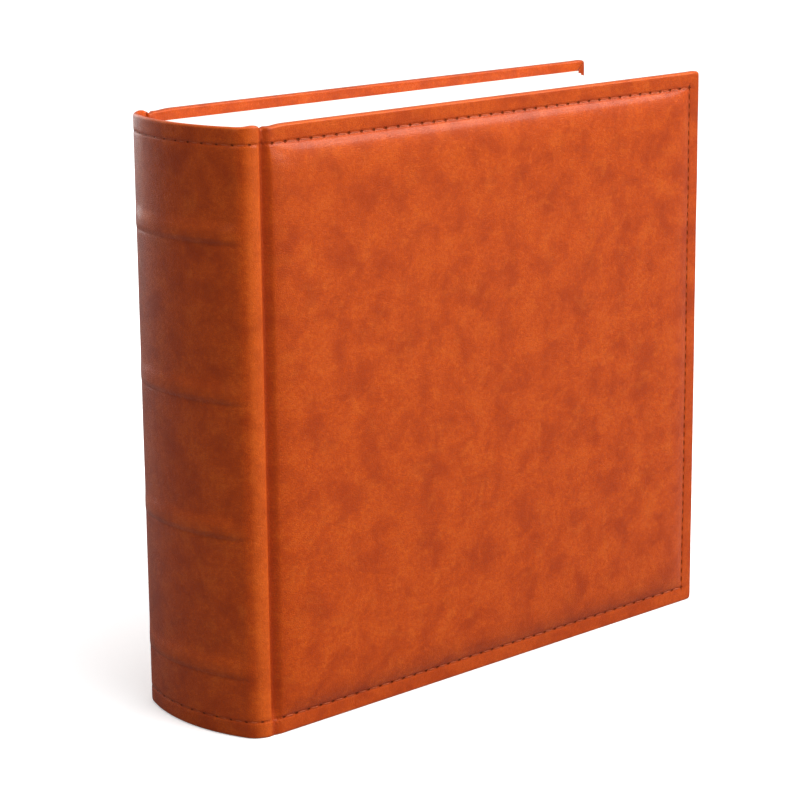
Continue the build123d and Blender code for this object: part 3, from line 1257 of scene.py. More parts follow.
@dataclass
class LeatherCase:
    """The leather skin, in a front piece with the spine and a back piece."""

    sizes: AlbumSizes
    relief: LeatherRelief
    roll: EdgeRoll
    skin_thickness: float = 0.7 * MM
    cover_step: float = 4.0 * MM
    spine_step: float = 2.2 * MM
    seam_setback: float = 1.2 * MM
    joint_length: float = 4.0 * MM
    spine_turned_depth: float = 2.8 * MM
    corner_rounding: float = 0.72

    def _cover_lines(self) -> list[float]:
        """Grid lines on one cover, as sheet distances from the spine's middle."""
        groove = self.relief.outline.groove_s
        end = groove + self.sizes.cover_width - self.roll.outer_radius
        seam = groove - self.seam_setback
        fore = groove + self.sizes.cover_width - self.relief.stitch_margin
        near_groove = [seam, groove + 1.5 * MM, groove + 8 * MM, groove + 26 * MM]
        near_fore = [fore - 14 * MM, fore - 2 * MM, fore + 1.6 * MM, end]
        steps = [0.45 * MM, 0.9 * MM, 2.0 * MM, self.cover_step, 1.6 * MM, 0.6 * MM, 2.0 * MM]
        return spaced(near_groove + near_fore, steps)

    def _height_lines(self) -> np.ndarray:
        """Grid lines from tail to head."""
        height = self.sizes.height
        line = self.relief.stitch_margin
        stops = [self.roll.outer_radius, line - 1.6 * MM, line + 2 * MM, line + 14 * MM]
        steps = [2.0 * MM, 0.6 * MM, 1.6 * MM]
        low = spaced(stops, steps)
        high = [height - value for value in low]
        middle = spaced([line + 14 * MM, height - line - 14 * MM], [3.4 * MM])
        offs = (-7.5, -6.2, -5.4, -4.8, -4.2, -3.4, -2.4, -1.2, 0, 1.2, 2.4, 3.4, 4.2, 5, 6.2, 7.5)
        near_bands = [band + off * MM for band in self.relief.band_heights for off in offs]
        return merged(low + high + middle + near_bands, 0.5 * MM)

    def _grid(
        self, s_lines: np.ndarray, t_lines: np.ndarray
    ) -> tuple[np.ndarray, np.ndarray, dict[str, np.ndarray]]:
        """Points, flat coordinates and marks of the outer face.

        Args:
            s_lines: Grid lines along the outline.
            t_lines: Grid lines from tail to head.

        Returns:
            Points, flat coordinates, and marks by name.
        """
        s, t = (grid.ravel() for grid in np.meshgrid(s_lines, t_lines, indexing="ij"))
        points, normals = self.relief.outline.place(s)
        height = self.relief.height(s, t)
        z = t + self.relief.edge_shift(s, t)
        outer = np.column_stack([points + normals * height[:, None], z])
        # the first mark carries edge wear and painted highlight on the ridge and the bands' crests, the
        # second painted shade in the groove and the bands' creases
        marks = {"rub": self.relief.worn(s, t), "fold": self.relief.folded(s, t)}
        return outer, np.column_stack([s, t]), marks

    @staticmethod
    def _rim(s_count: int, t_count: int, fore_at_start: bool) -> tuple[np.ndarray, np.ndarray]:
        """The edge that rolls over: corner numbers and outward directions.

        Args:
            s_count: Grid lines along the outline.
            t_count: Grid lines from tail to head.
            fore_at_start: Whether the fore-edge is the first line.

        Returns:
            Corner numbers along the rim, and X and Z parts of the outward direction.
        """
        order = np.arange(s_count)[::-1] if fore_at_start else np.arange(s_count)
        fore = order[-1]
        tail = [(i, 0) for i in order]
        side = [(fore, j) for j in range(1, t_count - 1)]
        head = [(i, t_count - 1) for i in order[::-1]]
        rim = np.array([i * t_count + j for i, j in tail + side + head])
        out = [(0.0, -1.0)] * (len(tail) - 1) + [(1.0, -1.0)] + [(1.0, 0.0)] * len(side)
        out += [(1.0, 1.0)] + [(0.0, 1.0)] * (len(head) - 1)
        return rim, np.array(out)

    def _piece(self, name: str, s_lines: np.ndarray, fore_at_start: bool) -> bpy.types.Object:
        """Build one piece of the skin.

        Args:
            name: The object's name.
            s_lines: Grid lines along the outline, ascending.
            fore_at_start: Whether the fore-edge is the first line.

        Returns:
            The object.
        """
        t_lines = self._height_lines()
        points, flat, marks = self._grid(s_lines, t_lines)
        s_count, t_count = len(s_lines), len(t_lines)
        faces = [
            (i * t_count + j, (i + 1) * t_count + j, (i + 1) * t_count + j + 1, i * t_count + j + 1)
            for i in range(s_count - 1)
            for j in range(t_count - 1)
        ]
        rim, out = self._rim(s_count, t_count, fore_at_start)
        s_rim = flat[rim, 0]
        normals = self.relief.outline.place(s_rim)[1]
        u = self.relief.out_from_groove(s_rim)
        on_cover = smooth_step(-1.0 * MM, 4.5 * MM, u)
        roll, shallow = self.roll, self.spine_turned_depth
        depth = shallow + (self.sizes.turned_depth - shallow) * on_cover
        turn_in = roll.spine_turn_in + (roll.cover_turn_in - roll.spine_turn_in) * on_cover
        along_fore = self.relief.from_edges(flat[rim, 1])
        to_corner = np.where(out[:, 0] > 0, along_fore, self.sizes.cover_width - u)
        to_corner = to_corner - roll.outer_radius
        turn_in = np.minimum(turn_in, np.maximum(to_corner, 0.3 * MM))
        base_rows, base_flat = points[rim], flat[rim]
        side = np.where(s_rim < 0, -1.0, 1.0)
        previous = rim
        total = len(points)
        rows, flats = [points], [flat]
        mark_rows = {key: [value] for key, value in marks.items()}
        travelled = np.zeros(len(rim))
        last_out, last_depth = np.zeros(len(rim)), np.zeros(len(rim))
        at_corner = np.abs(out).sum(axis=1) > 1.5
        for number, (outward, down) in enumerate(roll.steps(depth, turn_in)):
            corner = np.where(at_corner & (outward > 0), self.corner_rounding, 1.0)
            shift = out * (outward * corner)[:, None]
            ring = base_rows.copy()
            ring[:, 0] += shift[:, 0]
            ring[:, 2] += shift[:, 1]
            ring[:, :2] -= normals * down[:, None]
            travelled = travelled + np.hypot(outward - last_out, down - last_depth)
            last_out, last_depth = outward, down
            sheet = base_flat.copy()
            sheet[:, 0] += out[:, 0] * travelled * side
            sheet[:, 1] += out[:, 1] * travelled
            rows.append(ring)
            flats.append(sheet)
            rolled = 0.85 if number < 3 else 0.35 if number < 6 else 0.0
            mark_rows["rub"].append(np.full(len(rim), rolled))
            # the rolled rim keeps half of the painted shade beside it
            mark_rows["fold"].append(marks["fold"][rim] * 0.5)
            current = np.arange(total, total + len(rim))
            total += len(rim)
            faces += [
                (previous[k], previous[k + 1], current[k + 1], current[k]) for k in range(len(rim) - 1)
            ]
            previous = current
        if fore_at_start:
            outer_count = (s_count - 1) * (t_count - 1)
            faces = [face[::-1] for face in faces[:outer_count]] + faces[outer_count:]
        all_marks = {key: np.concatenate(values) for key, values in mark_rows.items()}
        made = mesh_object(name, np.concatenate(rows), faces, np.concatenate(flats), all_marks)
        make_normals_consistent(made)
        skin = made.modifiers.new("skin", "SOLIDIFY")
        skin.thickness = self.skin_thickness
        skin.offset = -1.0
        rounded = made.modifiers.new("rounded", "SUBSURF")
        rounded.levels = 1
        rounded.render_levels = 1
        log.info("%s: %d points", name, total)
        return made

    def build(self, finish: bpy.types.Material) -> list[bpy.types.Object]:
        """Build and dress both pieces of the skin.

        Args:
            finish: The leather.

        Returns:
            The front piece, which carries the spine, and the back piece.
        """
        outline = self.relief.outline
        cover = self._cover_lines()
        seam = cover[0]
        spine = spaced([-seam, -outline.arc_s, outline.arc_s, seam], [0.9 * MM, self.spine_step, 0.9 * MM])
        front_lines = np.array([-value for value in cover[::-1]] + spine[1:])
        front = self._piece("front_case_leather", front_lines, True)
        back = self._piece("back_case_leather", np.array(cover), False)
        for piece, side in ((front, Side.FRONT), (back, Side.BACK)):
            piece.data.materials.append(finish)
            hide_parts(f"{side.word}_cover_leather", f"{side.word}_joint_leather")
            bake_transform(piece)
        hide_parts("spine_leather")
        return [front, back]


def make_normals_consistent(piece: bpy.types.Object) -> None:
    """Turn every face of a piece the same way round, outwards.

    Args:
        piece: The mesh object.
    """
    work = bmesh.new()
    work.from_mesh(piece.data)
    bmesh.ops.recalc_face_normals(work, faces=work.faces)
    work.to_mesh(piece.data)
    work.free()


@dataclass
class CoverPadding:
    """The foam pad under the leather of one cover."""

    sizes: AlbumSizes
    relief: LeatherRelief
    side: Side
    under_leather: float = 0.9 * MM
    board_depth: float = 1.0 * MM
    inset: float = 11.5 * MM
    step: float = 6.0 * MM

    def build(self, finish: bpy.types.Material) -> bpy.types.Object:
        """Build, dress and hang the pad.

        Args:
            finish: The foam.

        Returns:
            The pad.
        """
        groove_s = self.relief.outline.groove_s
        width, height = self.sizes.cover_width, self.sizes.height
        inset, steps = self.inset, [1.5 * MM, self.step, 1.5 * MM]
        us = spaced([inset + 3 * MM, inset + 12 * MM, width - inset - 9 * MM, width - inset], steps)
        ts = spaced([inset, inset + 9 * MM, height - inset - 9 * MM, height - inset], steps)
        u, t = (grid.ravel() for grid in np.meshgrid(us, ts, indexing="ij"))
        rise = self.relief.height(-(u + groove_s), t)
        rise = rise - self.relief.outline.shoulder_inset - self.under_leather
        floor = -self.board_depth + 0.05 * MM
        rise = np.maximum(rise, floor + 0.1 * MM)
        x = self.sizes.groove_x + u
        top = np.column_stack([x, self.side.value * (self.sizes.half + rise), t])
        low = np.column_stack([x, self.side.value * (self.sizes.half + np.full_like(u, floor)), t])
        count = len(us) * len(ts)
        rows = len(ts)
        faces = []
        for i in range(len(us) - 1):
            for j in range(rows - 1):
                quad = (i * rows + j, (i + 1) * rows + j, (i + 1) * rows + j + 1, i * rows + j + 1)
                faces.append(quad)
                faces.append(tuple(count + k for k in reversed(quad)))
        rim = [i * rows for i in range(len(us))]
        rim += [(len(us) - 1) * rows + j for j in range(1, rows)]
        rim += [i * rows + rows - 1 for i in reversed(range(len(us) - 1))]
        rim += list(reversed(range(1, rows - 1)))
        for k, corner in enumerate(rim):
            following = rim[(k + 1) % len(rim)]
            faces.append((corner, following, count + following, count + corner))
        pad = mesh_object(f"{self.side.word}_foam_padding", np.concatenate([top, low]), faces)
        make_normals_consistent(pad)
        pad.data.materials.append(finish)
        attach(pad, f"{self.side.word}_cover")
        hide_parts(f"{self.side.word}_foam_pad")
        log.info("%s: %d points", pad.name, 2 * count)
        return pad


@dataclass
class BandCores:
    """The strips of card under the leather that make the raised bands."""

    sizes: AlbumSizes
    relief: LeatherRelief
    half_width: float = 3.5 * MM
    skin: float = 0.85 * MM
    bed: float = 0.97 * MM

    def _core(self, number: int, height: float, finish: bpy.types.Material) -> bpy.types.Object:
        """Build, dress and hang one core.

        Args:
            number: The band's number, counted from the tail.
            height: Its height above the tail.
            finish: The card.

        Returns:
            The core.
        """
        reach = self.relief.outline.shoulder_s - 5.5 * MM
        stops = [-reach, -reach + 12 * MM, reach - 12 * MM, reach]
        ss = spaced(stops, [1.5 * MM, 3 * MM, 1.5 * MM])
        offs = np.linspace(-self.half_width, self.half_width, 9)
        rings = []
        for s in ss:
            row = np.full(len(offs), s)
            point, normal = self.relief.outline.place(row)
            t = height + offs
            thinnest = -self.bed + 0.06 * MM
            top = np.maximum(self.relief.bands(row, t) - self.skin, thinnest)
            top[[0, -1]] = thinnest
            upper = np.column_stack([point + normal * top[:, None], t])
            lower = np.column_stack([point - normal * self.bed, t])[::-1]
            rings.append(np.concatenate([upper, lower]))
        around = 2 * len(offs)
        core = mesh_object(f"band_core_{number}", np.concatenate(rings), tube_faces(len(ss), around))
        make_normals_consistent(core)
        core.data.materials.append(finish)
        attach(core, "spine_and_binding")
        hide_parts(f"raised_band_{number}")
        return core

    def build(self, finish: bpy.types.Material) -> list[bpy.types.Object]:
        """Build every core.

        Args:
            finish: The card.

        Returns:
            The cores.
        """
        return [self._core(k + 1, height, finish) for k, height in enumerate(self.relief.band_heights)]


# --------------------------------------------------------------------------
# Stitches
# --------------------------------------------------------------------------


@dataclass
class StitchedSeams:
    """The thread in the leather, stitch by stitch, where the frame's stitches lie."""

    sizes: AlbumSizes
    relief: LeatherRelief
    nodes: dict[str, bpy.types.Object]
    radius: float = 0.34 * MM
    lift: float = 0.06 * MM
    sunk_drop: float = 0.26 * MM
    sink: float = 0.62 * MM
    over_length: float = 1.06
    along_steps: int = 9
    around: int = 8
    clear_of_groove: float = 1.0 * MM

    def _runs(self, node: str) -> list[Run]:
        """Sheet coordinates of a node's stitches.

        Args:
            node: The CAD node.

        Returns:
            Sheet distance, height, and half length along each for every stitch.
        """
        outline = self.relief.outline
        centre_x = self.sizes.groove_x - outline.shoulder_setback + outline.reach
        runs = []
        for low, high in island_boxes(self.nodes[node]):
            middle, size = (low + high) / 2, high - low
            if node == "spine_stitching":
                s = outline.spine_radius * math.atan2(middle[1], centre_x - middle[0])
                runs.append((s, middle[2], math.hypot(size[0], size[1]) / 2, 0.0))
                continue
            side = -1.0 if middle[1] < 0 else 1.0
            s = side * (middle[0] - self.sizes.groove_x + outline.groove_s)
            flat = size[0] > size[2]
            runs.append((s, middle[2], size[0] / 2 if flat else 0.0, 0.0 if flat else size[2] / 2))
        if node == "spine_stitching":
            runs += self._shoulder_runs(runs)
        return runs

    def _shoulder_runs(self, runs: Sequence[Run]) -> list[Run]:
        """Stitches that carry the spine's rows on over the shoulders.

        Args:
            runs: The spine's own stitches.

        Returns:
            The further stitches at both ends of each row.
        """
        places = sorted({round(run[0], 5) for run in runs})
        pitch = (places[-1] - places[0]) / (len(places) - 1)
        last_place = self.relief.outline.groove_s - self.clear_of_groove
        count = int((last_place - places[-1] - pitch / 2) / pitch)
        heights = sorted({round(run[1], 4) for run in runs})
        return [
            (side * (places[-1] + pitch * (k + 1)), t, runs[0][2], 0.0)
            for t in heights
            for side in (-1, 1)
            for k in range(count)
        ]

    def lines(self) -> dict[str, StitchLine]:
        """Where the needle holes lie, read from the stitches.

        Returns:
            The cover's, the fore-edge's and the spine's stitch lines.
        """
        groove_s = self.relief.outline.groove_s
        cover = self._runs("front_stitching")
        flat_run = sorted({round(abs(s) - groove_s, 6) for s, _, ds, _ in cover if ds > 0})
        tall_run = sorted({round(t - self.sizes.height / 2, 6) for _, t, _, dt in cover if dt > 0})
        spine_runs = [run[0] for run in self._runs("spine_stitching")]
        spine_run = sorted({round(s, 5) for s in spine_runs if abs(s) < self.relief.outline.arc_s})
        found = {}
        shapes = {
            "cover": (1.15 * MM, 0.75 * MM),
            "fore_edge": (1.75 * MM, 0.62 * MM),
            "spine": (0.9 * MM, 0.5 * MM),
        }
        for name, run in (("cover", flat_run), ("fore_edge", tall_run), ("spine", spine_run)):
            pitch = (run[-1] - run[0]) / (len(run) - 1)
            found[name] = StitchLine(run[0] - pitch / 2, run[-1] + pitch / 2, pitch, *shapes[name])
        spine = found["spine"]
        extra = int((groove_s - self.clear_of_groove - spine.last_hole) / spine.pitch)
        reach = spine.last_hole + extra * spine.pitch
        found["spine"] = replace(spine, first_hole=-reach, last_hole=reach)
        return found

    def _surface(self, s: np.ndarray, t: np.ndarray, over: np.ndarray) -> np.ndarray:
        """Points a given height over the leather.

        Args:
            s: Sheet distances.
            t: Heights above the tail.
            over: Heights over the leather.

        Returns:
            The points.
        """
        points, normals = self.relief.outline.place(s)
        height = self.relief.height(s, t) + over
        return np.column_stack([points + normals * height[:, None], t])

    def _thread(self, run: Run, slant: float) -> tuple[np.ndarray, np.ndarray]:
        """Corners of one stitch, which dives into its holes at both ends.

        Args:
            run: The stitch's place and half lengths.
            slant: How far it lies off the line at its end, in metres.

        Returns:
            Corner points and flat coordinates.
        """
        s0, t0, ds, dt = run
        share = np.linspace(-1, 1, self.along_steps)
        bow = np.abs(share) ** 3
        on_cover = abs(s0) > self.relief.outline.groove_s
        lift = self.lift if ds > 0 and on_cover else self.lift - self.sunk_drop
        over = lift - (lift + self.sink) * bow
        length = self.over_length
        s = s0 + share * ds * length + slant * share * (dt > 0)
        t = t0 + share * dt * length + slant * share * (ds > 0)
        spine = self._surface(s, t, over)
        across_s, across_t = (0.0, 1.0) if ds > 0 else (1.0, 0.0)
        rings, flats = [], []
        _, normals = self.relief.outline.place(s)
        tangent = np.column_stack([-normals[:, 1], normals[:, 0]])
        for k in range(self.along_steps):
            radius = self.radius * (1.0 - 0.25 * bow[k])
            for turn in range(self.around):
                angle = 2 * math.pi * turn / self.around
                side_way = radius * math.cos(angle)
                up = radius * math.sin(angle)
                point = spine[k].copy()
                point[:2] += normals[k] * up + tangent[k] * side_way * across_s
                point[2] += side_way * across_t
                rings.append(point)
                flats.append(((share[k] + 1) * max(ds, dt), turn / self.around))
        return np.array(rings), np.array(flats)

    def _seam(self, node: str, name: str, body: str, finish: bpy.types.Material) -> bpy.types.Object:
        """Build, dress and hang the thread that replaces one node.

        Args:
            node: The CAD node.
            name: The new piece's name.
            body: The body it rides on.
            finish: The thread.

        Returns:
            The thread's object.
        """
        chance = np.random.default_rng(len(name))
        points, flats, faces = [], [], []
        count = 0
        for run in self._runs(node):
            corners, flat = self._thread(run, float(chance.normal(0.10, 0.05)) * MM)
            faces += tube_faces(self.along_steps, self.around, count)
            points.append(corners)
            flats.append(flat)
            count += len(corners)
        made = mesh_object(name, np.concatenate(points), faces, np.concatenate(flats))
        made.data.materials.append(finish)
        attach(made, body)
        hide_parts(node)
        log.info("%s: %d stitches", name, len(points))
        return made

    def build(self, finish: bpy.types.Material) -> list[bpy.types.Object]:
        """Build the thread of both covers and the spine.

        Args:
            finish: The thread.

        Returns:
            The three pieces.
        """
        return [
            self._seam("front_stitching", "front_cover_thread", "front_cover", finish),
            self._seam("back_stitching", "back_cover_thread", "back_cover", finish),
            self._seam("spine_stitching", "spine_thread", "spine_and_binding", finish),
        ]


# --------------------------------------------------------------------------
# Paper
# --------------------------------------------------------------------------


@dataclass
class PageBlock:
    """Folded sheets of two leaves, flyleaves and pastedowns."""

    sizes: AlbumSizes
    joints: Sequence[dict]
    sheets_per_half: int
    bend_length: float = 16.0 * MM
    softened: float = 0.16 * MM
    rise_spread: float = 0.22 * MM
    fore_spread: float = 0.35 * MM
    pastedown_half: float = 0.14 * MM
    joint_crease: float = 4.4 * MM
    joint_lifted: float = 5.0 * MM

    @staticmethod
    def _leaf_ring(
        centre: np.ndarray,
        across: np.ndarray,
        half: float,
        low: float,
        high: float,
        soft: float,
    ) -> np.ndarray:
        """One ring of corners round a leaf's section, with softened edges.

        Args:
            centre: Plan point on the leaf's middle line.
            across: Plan direction through its thickness.
            half: Half its thickness.
            low: Its tail.
            high: Its head.
            soft: How far its edges are softened.

        Returns:
            Eight corners.
        """
        section = (
            (half, low + soft), (half, high - soft), (half - soft, high), (soft - half, high),
            (-half, high - soft), (-half, low + soft), (soft - half, low), (half - soft, low),
        )
        return np.array([[*(centre + across * off), z] for off, z in section])

    def _strip(
        self,
        xs: Sequence[float],
        y: float,
        half: float,
        low: float,
        high: float,
        soft: float,
    ) -> np.ndarray:
        """Rings of one flat leaf.

        Args:
            xs: Places of the rings along X.
            y: The leaf's middle plane.
            half: Half its thickness.
            low: Its tail.
            high: Its head.
            soft: How far its edges are softened.

        Returns:
            The corners, ring by ring.
        """
        across = np.array([0.0, 1.0])
        rings = [self._leaf_ring(np.array([x, y]), across, half, low, high, soft) for x in xs]
        return np.concatenate(rings)

    def _xs(self, root_x: float, crease_x: float, end_x: float) -> list[float]:
        """Ring places along a leaf, close together where it bends."""
        bend_end = crease_x + self.bend_length
        return spaced([root_x, crease_x, bend_end, end_x], [12 * MM, 1.4 * MM, 40 * MM])

    def _folded_sheet(self, side: Side, number: int, finish: bpy.types.Material) -> bpy.types.Object:
        """Build and dress one folded sheet.

        Args:
            side: The album's half.
            number: The sheet's number, counted from its cover.
            finish: The card.

        Returns:
            The sheet.
        """
        node = f"{side.word}_leaves_{number:02d}"
        low, high = (np.array(corner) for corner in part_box(node))
        crease = joint_named(self.joints, f"{node}_turn")["pos_m"][0]
        thickness = self._leaf_thickness(node)
        half = thickness / 2
        middle = (low[1] + high[1]) / 2
        fold_radius = (high[1] - low[1]) / 2
        root = self._root_x(side, number)
        chance = np.random.default_rng(100 * number + side.value)
        rings = []
        ends = [high[0] - abs(chance.normal(0, self.fore_spread)) for _ in range(2)]
        heads = [high[2] + chance.normal(0, self.rise_spread) for _ in range(2)]
        planes = (middle - fold_radius + half, middle + fold_radius - half)
        soft = self.softened
        inward = self._xs(root, crease, ends[0])[::-1]
        rings.append(self._strip(inward, planes[0], half, low[2], heads[0], soft))
        for angle in (30, 60, 90, 120, 150):
            turn = math.radians(angle)
            away = np.array([-math.sin(turn), -math.cos(turn)])
            centre = np.array([root, middle]) + away * (fold_radius - half)
            share = angle / 180
            head = heads[0] * (1 - share) + heads[1] * share
            rings.append(self._leaf_ring(centre, -away, half, low[2], head, soft))
        outward = self._xs(root, crease, ends[1])
        second = self._strip(outward, planes[1], half, low[2], heads[1], soft)
        rings.append(flip_rings(second))
        points = np.concatenate(rings)
        faces = tube_faces(len(points) // RING_CORNERS, RING_CORNERS)
        made = mesh_object(f"{side.word}_sheet_{number:02d}", points, faces)
        flat_sides(made)
        made.data.materials.append(finish)
        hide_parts(node, f"{side.word}_folded_roots")
        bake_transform(made)
        return made

    @staticmethod
    def _leaf_thickness(node: str) -> float:
        """Thickness of one leaf of a pair."""
        boxes = island_boxes(bpy.data.objects[node])
        return float(boxes[0][1][1] - boxes[0][0][1])

    def _root_x(self, side: Side, number: int) -> float:
        """Where a sheet's fold has its round centre, from the sewn roots.

        Args:
            side: The album's half.
            number: The sheet's number, counted from its cover.

        Returns:
            The centre's X.
        """
        node = f"{side.word}_folded_roots"
        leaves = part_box(f"{side.word}_leaves_{number:02d}")
        middle = (leaves[0][1] + leaves[1][1]) / 2
        for low, high in island_boxes(bpy.data.objects[node]):
            if low[1] < middle < high[1]:
                return float(low[0] + (high[1] - low[1]) / 2)
        raise ValueError(f"no root of {node} lies at the middle of sheet {number}")

    def _flyleaf(self, side: Side, finish: bpy.types.Material) -> bpy.types.Object:
        """Build and dress one flyleaf.

        Args:
            side: The album's half.
            finish: The endpaper.

        Returns:
            The flyleaf.
        """
        low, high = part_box(f"{side.word}_flyleaf")
        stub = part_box(f"{side.word}_flyleaf_stub")
        crease = joint_named(self.joints, f"{side.word}_flyleaf_turn")["pos_m"][0]
        half = (high[1] - low[1]) / 2
        xs = self._xs(stub[0][0], crease, high[0])
        y = (low[1] + high[1]) / 2
        points = self._strip(xs, y, half, low[2], high[2], half * 0.3)
        made = mesh_object(f"{side.word}_flyleaf_sheet", points, tube_faces(len(xs), RING_CORNERS))
        flat_sides(made)
        made.data.materials.append(finish)
        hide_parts(f"{side.word}_flyleaf", f"{side.word}_flyleaf_stub")
        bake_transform(made)
        return made

    def _pastedown(self, side: Side, finish: bpy.types.Material) -> bpy.types.Object:
        """Build and dress one pastedown, which bridges the joint to the first sheet.

        Beside the groove it passes from the joint's depth and height to the board's, with one narrow crease
        in its rings.

        Args:
            side: The album's half.
            finish: The endpaper.

        Returns:
            The pastedown.
        """
        low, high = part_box(f"{side.word}_pastedown")
        groove = self.sizes.groove_x
        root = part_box(f"{side.word}_flyleaf_stub")[0][0]
        half = self.pastedown_half
        flat_depth = self.sizes.lined_depth - half - 0.02 * MM
        joint_depth = self.sizes.lined_depth - half + 0.12 * MM
        crease, lifted = groove + self.joint_crease, groove + self.joint_lifted
        stations = [root, crease, lifted, groove + 20 * MM, high[0]]
        xs = spaced(stations, [1.5 * MM, 1.0 * MM, 2.6 * MM, 40 * MM])
        rings = []
        for x in xs:
            share = float(smooth_step(groove + 1 * MM, groove + 7 * MM, np.array(x)))
            depth = joint_depth * (1 - share) + flat_depth * share
            z_low = self.sizes.page_low * (1 - share) + low[2] * share
            z_high = self.sizes.page_high * (1 - share) + high[2] * share
            centre = np.array([x, side.value * (self.sizes.half - depth)])
            across = np.array([0.0, 1.0])
            rings.append(self._leaf_ring(centre, across, half, z_low, z_high, half * 0.4))
        faces = tube_faces(len(xs), RING_CORNERS)
        made = mesh_object(f"{side.word}_pastedown_sheet", np.concatenate(rings), faces)
        flat_sides(made)
        made.data.materials.append(finish)
        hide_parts(f"{side.word}_pastedown")
        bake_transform(made)
        return made

    def build(self, card: bpy.types.Material, endpaper: bpy.types.Material) -> list[bpy.types.Object]:
        """Build every sheet of both halves.

        Args:
            card: The leaves' card.
            endpaper: The flyleaves' and pastedowns' paper.

        Returns:
            All pieces.
        """
        made = []
        for side in Side:
            for number in range(1, self.sheets_per_half + 1):
                made.append(self._folded_sheet(side, number, card))
            made.append(self._flyleaf(side, endpaper))
            made.append(self._pastedown(side, endpaper))
            log.info("%s half: %d sheets, flyleaf and pastedown", side.word, self.sheets_per_half)
        return made


def flip_rings(points: np.ndarray) -> np.ndarray:
    """Mirror each ring's corners so that a strip continues one bent round by half a turn.

    Args:
        points: Corners, ring by ring.

    Returns:
        The corners in the new order.
    """
    order = [5, 4, 3, 2, 1, 0, 7, 6]
    rings = points.reshape(-1, RING_CORNERS, 3)
    return rings[:, order, :].reshape(-1, 3)


def flat_sides(piece: bpy.types.Object) -> None:
    """Shade a sheet's faces flat against its softened edges, and turn them all outwards.

    Args:
        piece: The sheet.
    """
    make_normals_consistent(piece)
    piece.data.polygons.foreach_set("use_smooth", [False] * len(piece.data.polygons))
    piece.data.update()


# --------------------------------------------------------------------------
# Pieces of the frame that show as they are
# --------------------------------------------------------------------------


def dress(nodes: dict[str, bpy.types.Object], names: Sequence[str], finish: bpy.types.Material) -> None:
    """Give carried-over nodes their finish.

    Args:
        nodes: The frame's nodes.
        names: The nodes to dress.
        finish: Their finish.
    """
    for name in names:
        nodes[name].data.materials.clear()
        nodes[name].data.materials.append(finish)
        log.info("%s: %s", name, finish.name)


# --------------------------------------------------------------------------
# Studio
# --------------------------------------------------------------------------


@dataclass(frozen=True)
class AreaLamp:
    """One soft lamp: where it stands, what it points at, its size and power."""

    name: str
    place: tuple[float, float, float]
    target: tuple[float, float, float]
    size: tuple[float, float]
    power: float

    def build(self) -> bpy.types.Object:
        """Make the lamp and aim it."""
        data = bpy.data.lights.new(self.name, "AREA")
        data.shape = "RECTANGLE"
        data.size, data.size_y = self.size
        data.energy = self.power
        lamp = bpy.data.objects.new(self.name, data)
        lamp.location = self.place
        aim = Vector(self.target) - Vector(self.place)
        lamp.rotation_euler = aim.to_track_quat("-Z", "Y").to_euler()
        bpy.context.scene.collection.objects.link(lamp)
        return lamp


